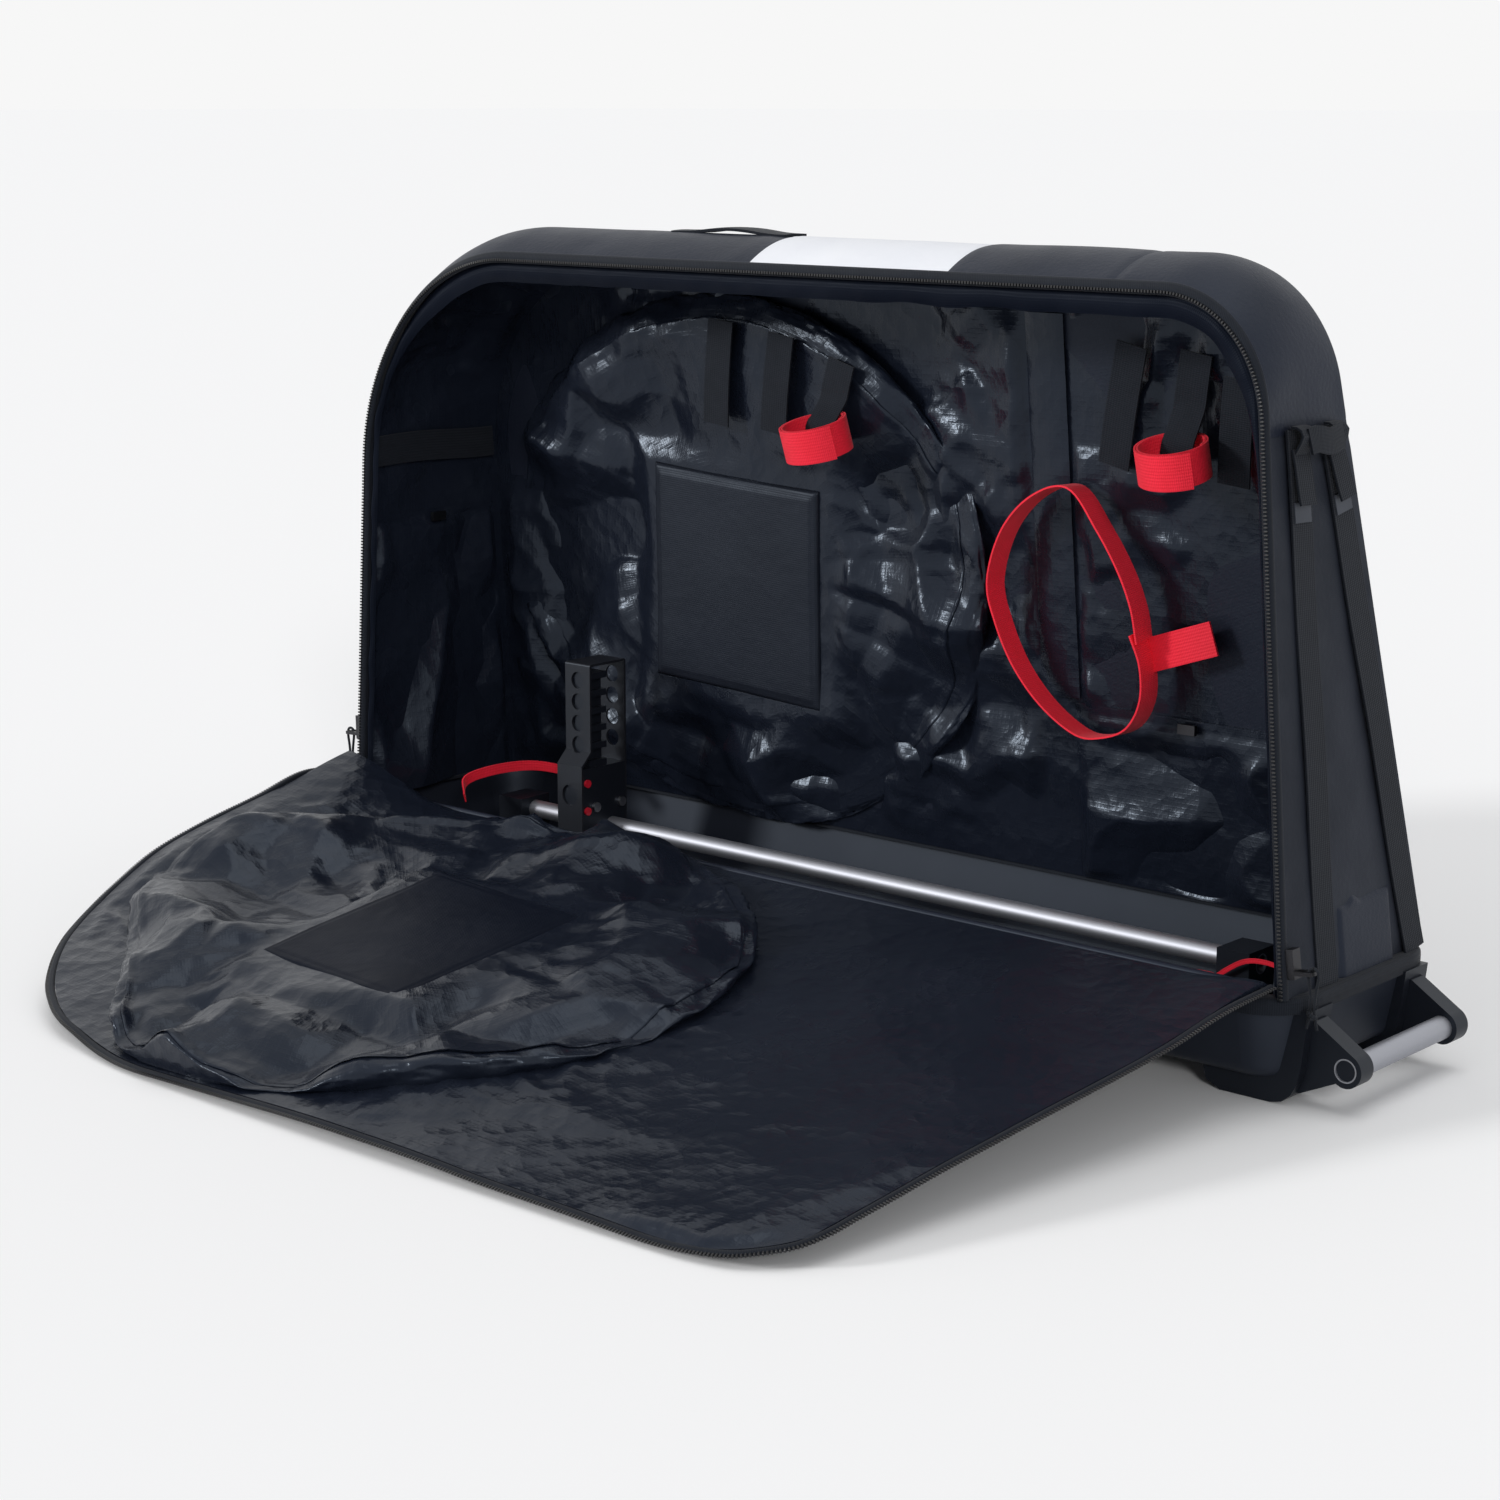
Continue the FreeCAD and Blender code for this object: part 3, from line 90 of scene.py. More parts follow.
def edit_all(*steps):
    """Runs edit-mode steps on everything in the active piece."""
    bpy.ops.object.mode_set(mode="EDIT")
    bpy.ops.mesh.select_all(action="SELECT")
    for step in steps:
        step()
    bpy.ops.object.mode_set(mode="OBJECT")


def modify(piece, kind, **values):
    """Adds a modifier, sets it and applies it."""
    pick(piece)
    bpy.ops.object.modifier_add(type=kind)
    modifier = piece.modifiers[-1]
    for key, value in values.items():
        setattr(modifier, key, value)
    bpy.ops.object.modifier_apply(modifier=modifier.name)


def lay(name, columns, rows, place, thick=0.0, offset=-1.0, flip=False, weld=False, smooth=60):
    """A grid whose points are laid where place says, in case coordinates; its UV map is in metres."""
    deselect()
    bpy.ops.mesh.primitive_grid_add(x_subdivisions=columns, y_subdivisions=rows, size=2)
    piece = bpy.context.object
    piece.name = piece.data.name = name
    mesh = piece.data
    runs = []
    for vertex in mesh.vertices:
        spot, run = place(vertex.co.x / 2 + 0.5, vertex.co.y / 2 + 0.5)
        vertex.co = (spot[0], spot[1] + CASE_Y, spot[2])
        runs.append(run)
    cloth_map = mesh.uv_layers.active.data
    for loop in mesh.loops:
        cloth_map[loop.index].uv = runs[loop.vertex_index]
    if weld:
        edit_all(lambda: bpy.ops.mesh.remove_doubles(threshold=2e-5))
    if flip:
        edit_all(bpy.ops.mesh.flip_normals)
    if thick:
        modify(piece, "SOLIDIFY", thickness=thick, offset=offset, use_quality_normals=True)
    pick(piece)
    bpy.ops.object.shade_smooth_by_angle(angle=radians(smooth))
    return piece


def join(name, pieces):
    """Several meshes as one piece."""
    deselect()
    for piece in pieces:
        piece.select_set(True)
    bpy.context.view_layer.objects.active = pieces[0]
    if len(pieces) > 1:
        bpy.ops.object.join()
    whole = bpy.context.object
    whole.name = whole.data.name = name
    return whole


def dress(piece, finish, stands_for=(), body="case"):
    """Gives a piece its finish and body, and the nodes that it stands for."""
    piece.data.materials.clear()
    piece.data.materials.append(finish)
    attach(piece, body)
    if stands_for:
        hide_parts(*stands_for)


# Patterns and lines

def ease(t):
    """A smooth step from 0 to 1."""
    t = min(1.0, max(0.0, t))
    return t * t * (3 - 2 * t)


def drift(q):
    """A vector that wanders with the place, the same on every run."""
    shifts = ((9.3, -1.5, -7.9), (0.2, 0.4, 0.6), (6.3, 11.1, -3.4))
    return Vector([noise.noise(q + Vector(shift)) for shift in shifts])


def crease(p, across, seed=0.0, octaves=3):
    """Sharp folds of stiff coated cloth, about across apart: low in the hollows, near 1 on the ridges."""
    q = Vector(p) / across + Vector((seed, -2 * seed, 3 * seed))
    q = q + 0.7 * drift(q * 0.6)
    total, weight = 0.0, 0.58
    for _ in range(octaves):
        total += weight * (1 - 1.6 * abs(noise.noise(q)))
        q = q * 2.17 + Vector((5.3, 1.7, 9.1))
        weight *= 0.48
    return total


def facets(a, b, across, seed=0.0):
    """Flat planes about across wide that meet in sharp folds, as in crumpled coated cloth, from -1 to 1."""
    q = Vector((a, b, 0.0)) / across + Vector((seed * 3.7, seed * 1.3, seed))
    q = q + 0.55 * drift(q * 0.7)
    u, v = q.x - 0.577 * q.y, 1.155 * q.y
    i, j = floor(u), floor(v)
    u, v = u - i, v - j
    if u + v < 1:
        corners = ((i, j, 1 - u - v), (i + 1, j, u), (i, j + 1, v))
    else:
        corners = ((i + 1, j + 1, u + v - 1), (i, j + 1, 1 - u), (i + 1, j, 1 - v))
    return sum(share * noise.cell(Vector((m + 0.5, n + 0.5, seed))) for m, n, share in corners)


def swell(p, across, seed=0.0):
    """Soft waves about across apart, from -1 to 1."""
    return noise.noise(Vector(p) / across + Vector((seed, seed, -seed)))


def through(points):
    """A smooth line through points, as a function of the share of its length; gives place and direction."""
    knots = [Vector(p) for p in points]
    knots = [2 * knots[0] - knots[1]] + knots + [2 * knots[-1] - knots[-2]]
    line = []
    for a, b, c, d in zip(knots, knots[1:], knots[2:], knots[3:]):
        for step in range(16):
            t = step / 16
            line.append(0.5 * (2 * b + (c - a) * t + (2 * a - 5 * b + 4 * c - d) * t * t
                               + (3 * b - a - 3 * c + d) * t ** 3))
    line.append(knots[-2])
    runs = [0.0]
    for a, b in zip(line, line[1:]):
        runs.append(runs[-1] + (b - a).length)

    def at(share):
        want = min(1.0, max(0.0, share)) * runs[-1]
        low, high = 0, len(runs) - 1
        while high - low > 1:
            middle = (low + high) // 2
            low, high = (middle, high) if runs[middle] <= want else (low, middle)
        part = (want - runs[low]) / max(runs[high] - runs[low], 1e-9)
        return line[low].lerp(line[high], part), (line[high] - line[low]).normalized()

    at.length = runs[-1]
    return at


def ribbon(name, points, width, across, thick=STRAP, crown=0.0):
    """A webbing strap along a smooth line; across is its width's direction."""
    at = through(points)

    def place(u, w):
        spot, ahead = at(u)
        side = Vector(across)
        side = (side - side.dot(ahead) * ahead).normalized()
        spot = spot + side * ((w - 0.5) * width) + side.cross(ahead) * crown * (1 - (2 * w - 1) ** 2)
        return spot, (u * at.length, w * width)

    return lay(name, max(6, int(at.length / 0.006)), 6, place, thick=thick, offset=0.0, smooth=45)


def tube(name, points, radius, around):
    """A round cord or roll along a smooth line, closed at both ends."""
    at = through(points)

    def place(u, w):
        spot, ahead = at(u)
        side = ahead.cross(Vector((0, 0, 1)))
        if side.length < 0.2:
            side = ahead.cross(Vector((0, 1, 0)))
        side.normalize()
        turn = 2 * pi * w
        spot = spot + side * cos(turn) * radius + side.cross(ahead) * sin(turn) * radius
        return spot, (u * at.length, w * 6.28 * radius)

    piece = lay(name, max(6, int(at.length / (radius * 0.8))), around, place, weld=True, smooth=80)
    edit_all(bpy.ops.mesh.region_to_loop, bpy.ops.mesh.edge_face_add,
             lambda: bpy.ops.mesh.select_all(action="SELECT"),
             lambda: bpy.ops.mesh.normals_make_consistent(inside=False))
    return piece


# Finishes

class Finish:
    """A material's nodes, put together step by step."""

    def __init__(self, slot, colour, roughness, name=None, **sockets):
        self.material = bpy.data.materials.new(name or slot)
        self.material.use_nodes = True
        self.material["slot"] = slot
        self.nodes, self.link = self.material.node_tree.nodes, self.material.node_tree.links.new
        self.shader = self.nodes["Principled BSDF"]
        self.shader.inputs["Base Color"].default_value = (*colour, 1)
        self.shader.inputs["Roughness"].default_value = roughness
        for key, value in sockets.items():
            self.shader.inputs[key.replace("_", " ")].default_value = value
        where = self.nodes.new("ShaderNodeTexCoord")
        self.object, self.map = where.outputs["Object"], where.outputs["UV"]
        self.normal = None

    def node(self, kind, **values):
        made = self.nodes.new(kind)
        for key, value in values.items():
            if key in made.inputs:
                made.inputs[key].default_value = value
            else:
                setattr(made, key, value)
        return made

    def pattern(self, kind, where, **values):
        """The outputs of a texture node that is laid by where."""
        made = self.node(kind, **values)
        self.link(where, made.inputs["Vector"])
        return made.outputs

    def speckle(self, scale, detail=3.0, stretch=None):
        """Noise, drawn out along an axis where stretch is given."""
        where = self.object
        if stretch:
            where = self.pattern("ShaderNodeMapping", where, Scale=stretch)["Vector"]
        return self.pattern("ShaderNodeTexNoise", where, Scale=scale, Detail=detail)["Fac"]

    def dents(self, scale):
        """Hollows that meet in sharp crooked rims."""
        bend = self.pattern("ShaderNodeTexNoise", self.object, Scale=scale * 0.55, Detail=2.0)["Color"]
        shift = self.node("ShaderNodeVectorMath", operation="MULTIPLY_ADD")
        shift.inputs[1].default_value = (1.1 / scale,) * 3
        self.link(bend, shift.inputs[0])
        self.link(self.object, shift.inputs[2])
        return self.pattern("ShaderNodeTexVoronoi", shift.outputs[0], feature="F1", Scale=scale)["Distance"]

    def bands(self, pitch, direction):
        """Even ridges a pitch apart, along one direction of the cloth's own map."""
        return self.pattern("ShaderNodeTexWave", self.map, wave_type="BANDS", bands_direction=direction,
                            Scale=pi / 10 / pitch)["Fac"]

    def mixed(self, first, second, how="MULTIPLY"):
        """Two patterns, or a pattern and a number, put together."""
        made = self.node("ShaderNodeMath", operation=how)
        self.link(first, made.inputs[0])
        if isinstance(second, float):
            made.inputs[1].default_value = second
        else:
            self.link(second, made.inputs[1])
        return made.outputs[0]

    def tint(self, height, low, high, dark, light):
        """Colour from dark to light as a pattern goes from low to high."""
        made = self.node("ShaderNodeValToRGB")
        ends = made.color_ramp.elements
        ends[0].position, ends[0].color = low, (*dark, 1)
        ends[1].position, ends[1].color = high, (*light, 1)
        self.link(height, made.inputs["Fac"])
        self.link(made.outputs["Color"], self.shader.inputs["Base Color"])

    def gloss(self, height, low, high):
        """Roughness from low to high with a pattern."""
        made = self.node("ShaderNodeMapRange")
        made.inputs["To Min"].default_value = low
        made.inputs["To Max"].default_value = high
        self.link(height, made.inputs["Value"])
        self.link(made.outputs["Result"], self.shader.inputs["Roughness"])

    def bump(self, height, strength, distance):
        """Relief on top of what is there."""
        made = self.node("ShaderNodeBump", Strength=strength, Distance=distance)
        self.link(height, made.inputs["Height"])
        if self.normal:
            self.link(self.normal, made.inputs["Normal"])
        self.normal = made.outputs["Normal"]
        self.link(self.normal, self.shader.inputs["Normal"])


def woven(slot, dark, light, roughness, pitch, grain, name=None, **sockets):
    """Cloth with a plain weave and a faint change of shade."""
    made = Finish(slot, dark, roughness, name=name, **sockets)
    made.tint(made.speckle(7.0), 0.35, 0.68, dark, light)
    made.gloss(made.speckle(23.0), roughness - 0.06, roughness + 0.08)
    made.bump(made.mixed(made.bands(pitch, "X"), made.bands(pitch, "Y")), 0.25, pitch * 0.3)
    made.bump(made.speckle(grain, 4.0), 0.35, 0.0012)
    return made.material


def coated(slot, dark, light, roughness, **sockets):
    """Shiny coated liner: small dents with sharp rims, a fine rip-stop grid and a change of gloss."""
    made = Finish(slot, dark, roughness, **sockets)
    made.tint(made.speckle(5.0), 0.3, 0.7, dark, light)
    made.gloss(made.speckle(9.0), roughness - 0.06, roughness + 0.1)
    made.bump(made.dents(13.0), 0.26, 0.012)
    made.bump(made.dents(52.0), 0.32, 0.0034)
    made.bump(made.speckle(170.0, 2.0), 0.25, 0.001)
    grid = made.mixed(made.bands(0.0052, "X"), made.bands(0.0052, "Y"), "MAXIMUM")
    made.bump(made.mixed(grid, 6.0, "POWER"), 0.16, 0.0004)
    return made.material


def strapping(slot, dark, light, **sockets):
    """Woven webbing: ribs across, a fainter line along; its colour is darker between the ribs and lighter on
    them, varying in random patches.
    """
    made = Finish(slot, dark, 0.72, Sheen_Weight=0.06, Sheen_Roughness=0.5, **sockets)
    ribs, lines = made.bands(0.0022, "X"), made.bands(0.0035, "Y")
    made.tint(made.mixed(made.speckle(60.0), ribs), 0.05, 0.6, dark, light)
    made.bump(made.mixed(ribs, lines, "ADD"), 0.35, 0.0006)
    return made.material


def moulded(slot, dark, light, roughness, grain, name=None, **sockets):
    """Moulded plastic with a fine grain and handling marks."""
    made = Finish(slot, dark, roughness, name=name, **sockets)
    made.tint(made.speckle(11.0), 0.3, 0.75, dark, light)
    made.gloss(made.speckle(6.0, 5.0), roughness - 0.07, roughness + 0.09)
    made.bump(made.speckle(grain, 2.0), 0.12, 0.0005)
    return made.material


def drawn_metal(slot, colour, roughness, stretch, name=None):
    """Drawn or turned metal with fine lines along it."""
    made = Finish(slot, colour, roughness, name=name, Metallic=1.0)
    lines = made.speckle(90.0, 4.0, stretch)
    made.tint(lines, 0.3, 0.7, tuple(c * 0.86 for c in colour), colour)
    made.gloss(lines, roughness - 0.05, roughness + 0.09)
    made.bump(lines, 0.06, 0.0003)
    return made.material


SHEEN = (0.72, 0.84, 1.0, 1.0)
soft, hard, shiny, dull = ({"Specular_IOR_Level": level, "Specular_Tint": SHEEN}
                           for level in (0.22, 0.3, 0.28, 0.04))
finishes = {finish["slot"]: finish for finish in (
    moulded("tray_plastic", (0.01, 0.012, 0.019), (0.015, 0.0178, 0.0265), 0.46, 900.0, **hard),
    moulded("trim_plastic", (0.006, 0.007, 0.0105), (0.009, 0.0105, 0.015), 0.38, 700.0, **hard),
    moulded("tip_plastic", (0.03, 0.033, 0.042), (0.044, 0.048, 0.06), 0.45, 600.0, **hard),
    moulded("red_plastic", (0.45, 0.006, 0.02), (0.55, 0.01, 0.028), 0.35, 500.0),
    drawn_metal("bar_aluminium", (0.4, 0.41, 0.45), 0.5, (2, 90, 90)),
    moulded("plate_metal", (0.008, 0.0085, 0.011), (0.013, 0.0135, 0.017), 0.42, 1200.0, **hard),
    drawn_metal("steel", (0.5, 0.5, 0.52), 0.3, (60, 60, 60)),
    moulded("tyre_rubber", (0.01, 0.0105, 0.012), (0.017, 0.0175, 0.019), 0.7, 400.0, **soft),
    woven("shell_fabric", (0.008, 0.0102, 0.0185), (0.0115, 0.0142, 0.0245), 0.44, 0.0016, 210.0, **soft),
    woven("print_fabric", (0.009, 0.0105, 0.016), (0.024, 0.0265, 0.036), 0.6, 0.0018, 160.0, **soft),
    woven("white_fabric", (0.74, 0.755, 0.8), (0.8, 0.815, 0.85), 0.5, 0.0018, 120.0),
    coated("liner_fabric", (0.006, 0.0082, 0.015), (0.0094, 0.0122, 0.0205), 0.24, **shiny),
    woven("pad_foam", (0.0085, 0.0105, 0.0165), (0.012, 0.0145, 0.022), 0.42, 0.0026, 90.0, **soft),
    strapping("webbing", (0.0032, 0.0038, 0.0062), (0.0085, 0.0098, 0.0145), **soft),
    strapping("red_webbing", (0.8, 0.003, 0.022), (0.95, 0.008, 0.042)),
    strapping("cord", (0.005, 0.0055, 0.0075), (0.013, 0.014, 0.018), **soft))}
zip_metal = moulded("trim_plastic", (0.006, 0.006, 0.007), (0.02, 0.02, 0.022), 0.3, 300.0, "zip_teeth")
slider_metal = drawn_metal("steel", (0.05, 0.05, 0.055), 0.35, (40, 40, 40), "slider_metal")
smooth_liner = woven("pad_foam", (0.004, 0.0056, 0.011), (0.0064, 0.0084, 0.015), 0.4, 0.0026, 60.0,
                     "pad_cover", **dull)
cloth, liner, padding = finishes["shell_fabric"], finishes["liner_fabric"], finishes["pad_foam"]
webbing, red, cord = finishes["webbing"], finishes["red_webbing"], finishes["cord"]

slot_of = {row["node"]: row["material_slot"] for row in frame["record"]["subparts"]}
for name, node in frame["nodes"].items():
    node.data.materials.clear()
    node.data.materials.append(slider_metal if "slider" in name else finishes[slot_of[name]])


# The shell's form: an arch of end walls and top, and a leaning back wall

class Arch:
    """The case's outline where it is cut at one y; runs go from the rear foot to the front foot."""

    def __init__(self, y, inset):
        top = RIDGE_Z - CROWN * y * y - inset
        self.rear = -REAR_X + inset / cos(REAR_LEAN)
        self.front = FRONT_X - inset / cos(FRONT_LEAN)
        self.rear_round, self.front_round = REAR_ROUND - inset, FRONT_ROUND - inset
        rear_turn, front_turn = pi / 2 + REAR_LEAN, pi / 2 - FRONT_LEAN
        rear_cut = self.rear_round * tan(rear_turn / 2)
        front_cut = self.front_round * tan(front_turn / 2)
        rise = top - SHELL_Z
        self.top = top
        self.top_start = self.rear - rise * tan(REAR_LEAN) + rear_cut
        self.top_end = self.front - rise * tan(FRONT_LEAN) - front_cut
        self.runs = (rise / cos(REAR_LEAN) - rear_cut, self.rear_round * rear_turn,
                     self.top_end - self.top_start, self.front_round * front_turn,
                     rise / cos(FRONT_LEAN) - front_cut)
        self.length = sum(self.runs)

    def at_x(self, x):
        """The run to a place on the top."""
        return self.runs[0] + self.runs[1] + x - self.top_start

    def front_at(self, z):
        """The run to a height on the front end."""
        return self.length - (z - SHELL_Z) / cos(FRONT_LEAN)

    def point(self, s):
        """x, z and the outward direction at a run s from the rear foot."""
        a, b, c, d, e = self.runs
        if s < a:
            turn = pi / 2 + REAR_LEAN
            x, z = self.rear + s * cos(turn), SHELL_Z + s * sin(turn)
        elif s < a + b:
            turn = pi / 2 + REAR_LEAN - (s - a) / self.rear_round
            x = self.top_start - self.rear_round * sin(turn)
            z = self.top - self.rear_round * (1 - cos(turn))
        elif s < a + b + c:
            turn, x, z = 0.0, self.top_start + s - a - b, self.top
        elif s < a + b + c + d:
            turn = -(s - a - b - c) / self.front_round
            x = self.top_end - self.front_round * sin(turn)
            z = self.top - self.front_round * (1 - cos(turn))
        else:
            turn = -(pi / 2 - FRONT_LEAN)
            back = self.length - s
            x, z = self.front + back * -cos(turn), SHELL_Z + back * -sin(turn)
        return x, z, -sin(turn), cos(turn)


def near_y(z):
    """The opening's edge, on the zip's side."""
    return HINGE_Y + LIP + SIDE_TAN * (z - HINGE_Z)


def far_y(x, z):
    """The back wall's outer face."""
    share = (x + REAR_X) / (REAR_X + FRONT_X)
    top = BACK_TOP - BACK_TAPER * share
    return BACK_FOOT + (z - SHELL_Z) / (BACK_TOP_Z - SHELL_Z) * (top - BACK_FOOT)


def wall_spot(start, end, u, across, inset):
    """A point of the arch: u from start to end along it, across(x, z) giving y."""
    y = 0.0
    for _ in range(4):
        arch = Arch(y, inset)
        low, high = start(arch), end(arch)
        s = low + u * (high - low)
        x, z, nx, nz = arch.point(s)
        y = across(x, z)
    return x, y, z, nx, nz, s


def shell_panel(name, start, end, columns, rows, inset, thick, ripple, seam=True, inward=False):
    """A sewn panel of the arch, from the zip's edge to the back wall's seam."""
    sign = -1 if inward else 1

    def place(u, w):
        x, y, z, nx, nz, s = wall_spot(
            start, end, u, lambda x, z: near_y(z) + w * (far_y(x, z) - SEAM_GAP - near_y(z)), inset)
        edge = min(u, 1 - u) * 2 if seam else 1.0
        lift = ripple((x, y, z), u) * ease(min(w, 1 - w) * 7) - 0.0016 * (1 - ease(edge * 12))
        return (x + sign * nx * lift, y, z + sign * nz * lift), (s, y)

    return lay(name, columns, rows, place, thick=thick, offset=-sign, flip=True)


def outer_ripple(p, u):
    """The outer cloth's faint waves."""
    return 0.0012 * swell(p, 0.12, 3.0) + 0.0006 * swell(p, 0.05, 8.0)


def end_ripple(p, u):
    """The end walls' slacker cloth."""
    return 0.0022 * swell(p, 0.14, 1.0) + 0.001 * crease(p, 0.09, 2.0) - 0.0012


# Seams round the arch, as the run to each
rear_foot, front_foot = (lambda arch: 0.0), (lambda arch: arch.length)
rear_seam, hood_foot = (lambda arch: 0.56 - SHELL_Z), (lambda arch: arch.front_at(0.66))
white_rear, white_front, hood_top = (lambda arch, x=x: arch.at_x(x) for x in (-0.075, 0.203, 0.415))

for name, start, end, columns, ripple in (
        ("rear_end_panel", rear_foot, rear_seam, 60, end_ripple),
        ("top_panel_rear", rear_seam, white_rear, 100, outer_ripple),
        ("top_panel_white", white_rear, white_front, 44, outer_ripple),
        ("top_panel_front", white_front, hood_top, 36, outer_ripple),
        ("front_hood", hood_top, hood_foot, 60, outer_ripple),
        ("front_end_panel", hood_foot, front_foot, 80, end_ripple)):
    panel = shell_panel(name + "_cloth", start, end, columns, 30, 0.0006, 0.0024, ripple)
    dress(panel, finishes[slot_of[name]], [name])


def liner_ripple(p, u):
    """The end and top liner: crumpled, pleated in the rear corner, flat under the rear pocket."""
    folds = 0.014 * facets(u * 2.6, p[1] * 0.7, 0.085, 4.0) + 0.006 * facets(u * 2.6, p[1], 0.036, 6.0)
    corner = ease(1 - abs(u - 0.245) / 0.08)
    pleats = 0.016 * corner * max(0.0, crease((u * 3.1, p[1] * 0.2, 0.0), 0.05, 2.0, 2) - 0.3)
    under_pocket = 0.25 + 0.75 * ease((u - 0.185) / 0.02)
    return max(-0.0012, (folds - 0.002) * under_pocket + pleats)


dress(shell_panel("end_and_top_liner", rear_foot, front_foot, 430, 44, LINER_IN, LINER_THICK, liner_ripple,
                  seam=False, inward=True), liner)


def back_wall(name, columns, rows, depth, thick, ripple, margin=0.0, flip=False):
    """A sheet over the back wall, depth in from its outer face; ripple lifts it into the case."""
    def place(u, w):
        rise = 1 - (1 - w) ** 1.35
        y = 0.09
        for _ in range(5):
            arch = Arch(y, margin)
            z = SHELL_Z + 0.0005 + rise * (arch.top - SHELL_Z - 0.0005)
            left = arch.rear - (z - SHELL_Z) * tan(REAR_LEAN)
            right = arch.front - (z - SHELL_Z) * tan(FRONT_LEAN)
            low = arch.top - arch.rear_round
            if z > low:
                left = max(left, arch.top_start - sqrt(max(0, arch.rear_round ** 2 - (z - low) ** 2)))
            low = arch.top - arch.front_round
            if z > low:
                right = min(right, arch.top_end + sqrt(max(0, arch.front_round ** 2 - (z - low) ** 2)))
            x = left + u * (right - left)
            y = far_y(x, z)
        lift = ripple((x, y, z)) * ease(min(u, 1 - u, w * 0.6, (1 - w) * 0.6) * 30)
        return (x, y - depth - lift, z), (x, z)

    return lay(name, columns, rows, place, thick=thick, offset=-1.0, flip=flip)


back_skin = back_wall("back_panel_cloth", 130, 70, 0.0, 0.0026,
                      lambda p: 0.0016 + 0.0016 * swell(p, 0.2, 2.0), flip=True)
dress(back_skin, cloth, ["back_panel"])


def wall_ripple(p):
    """The back liner: crumpled, gathered round the wheel pocket, calm under what is sewn on it."""
    from_pocket = hypot((p[0] - BACK_POCKET[0]) * 0.84, p[2] - BACK_POCKET[1])
    pull = ease(1 - abs(from_pocket - 0.34) / 0.14)
    sleeve_here = ease((0.045 - abs(p[0] - 0.232)) / 0.02)
    store_here = ease((p[0] - 0.235) / 0.02) * ease((0.575 - p[0]) / 0.02) * ease((0.34 - p[2]) / 0.02)
    folds = 0.022 * facets(p[0], p[2] * 0.75, 0.075, 1.0) + 0.007 * facets(p[0], p[2], 0.034, 5.0) - 0.002
    folds *= 1 - 0.85 * max(sleeve_here, store_here)
    gathers = 0.008 * pull * crease((p[0] * 0.5, p[1], p[2]), 0.055, 9.0, 2)
    seams = -0.002 * sum(exp(-((p[0] - x) / 0.004) ** 2) for x in (0.206, 0.258))
    return max(-0.0005, folds + gathers + seams)


dress(back_wall("back_wall_liner", 250, 130, LINER_IN, LINER_THICK, wall_ripple, margin=WALL), liner)


# The flap, laid open about its sill

def flap_spot(x, v, h):
    """A point of the flap: x along the case, v out from the fold, h above its middle."""
    sine, cosine = sin(FLAP_OPEN), cos(FLAP_OPEN)
    return x, HINGE_Y - v * cosine - h * sine, HINGE_Z - v * sine + h * cosine


def flap_limits(v, grow):
    """Where the flap's rear and front edges are at a distance v from the fold."""
    reach = FLAP_REACH + grow
    left = FLAP_REAR - grow - v * tan(REAR_LEAN)
    right = FLAP_FRONT + grow - v * tan(FRONT_LEAN)
    rear_round, front_round = FLAP_REAR_ROUND + grow, FLAP_FRONT_ROUND + grow
    if v > reach - rear_round:
        centre = FLAP_REAR - grow - (reach - rear_round) * tan(REAR_LEAN) + rear_round
        left = centre - sqrt(max(0.0, rear_round ** 2 - (v - reach + rear_round) ** 2))
    if v > reach - front_round:
        centre = FLAP_FRONT + grow - (reach - front_round) * tan(FRONT_LEAN) - front_round * 0.93
        right = min(right, centre + sqrt(max(0.0, front_round ** 2 - (v - reach + front_round) ** 2)))
    return left, right


def flap_wave(x, v):
    """How the soft flap lies: it rises to the rear slider, and its free edge waves a little."""
    rear_rise = 0.058 * ease(1 - v / 0.4) + 0.022 * ease(1 - abs(v - 0.3) / 0.22)
    rear_rise *= ease(1 - (x + 0.69) / 0.22)
    front_rise = 0.012 * ease((x - 0.56) / 0.1) * ease(1 - v / 0.2)
    edge = ease(v / 0.5)
    wave = 0.009 * edge * (0.5 + 0.5 * sin(x * 9.0 + 1.2))
    wave += 0.008 * edge * max(0.0, swell((x, v, 0), 0.22, 2.0))
    return (rear_rise + front_rise) * ease(v / 0.012) + wave


def drawn_in(x, v):
    """The slack rear corner of the flap, drawn in and under as it lies on the floor."""
    reach = ease((v - 0.3) / 0.34) * ease((-0.24 - x) / 0.34)
    return x + 0.075 * reach, v - 0.035 * reach


def soft_flap(piece, finish, stands_for=()):
    """A piece of the flap, given its finish, carried by the flap's body and given a mesh of its own."""
    dress(piece, finish, stands_for, "flap")
    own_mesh(piece)


def flap_ripple(x, v):
    """The flap's own folds: broad planes, gathers round its pocket, a puckered border and one seam."""
    from_pocket = hypot((x - FLAP_POCKET[0]) * 0.82, v - FLAP_POCKET[1])
    pull = ease(1 - abs(from_pocket - 0.345) / 0.1)
    folds = 0.011 * facets(x * 0.7, v, 0.19, 2.5) + 0.0016 * facets(x, v, 0.06, 7.5) - 0.0045
    gathers = 0.007 * pull * crease((x, v, 0.0), 0.05, 1.5, 3)
    border = 0.004 * ease((v - 0.6) / 0.05) * crease((x * 1.6, v * 0.3, 0.0), 0.035, 4.5, 2)
    seam = 0.0025 * exp(-((x - 0.2 - 0.25 * (v - 0.04)) / 0.004) ** 2) * ease((0.3 - v) / 0.05)
    return max(0.0, folds - 0.0006 + gathers + border - seam)


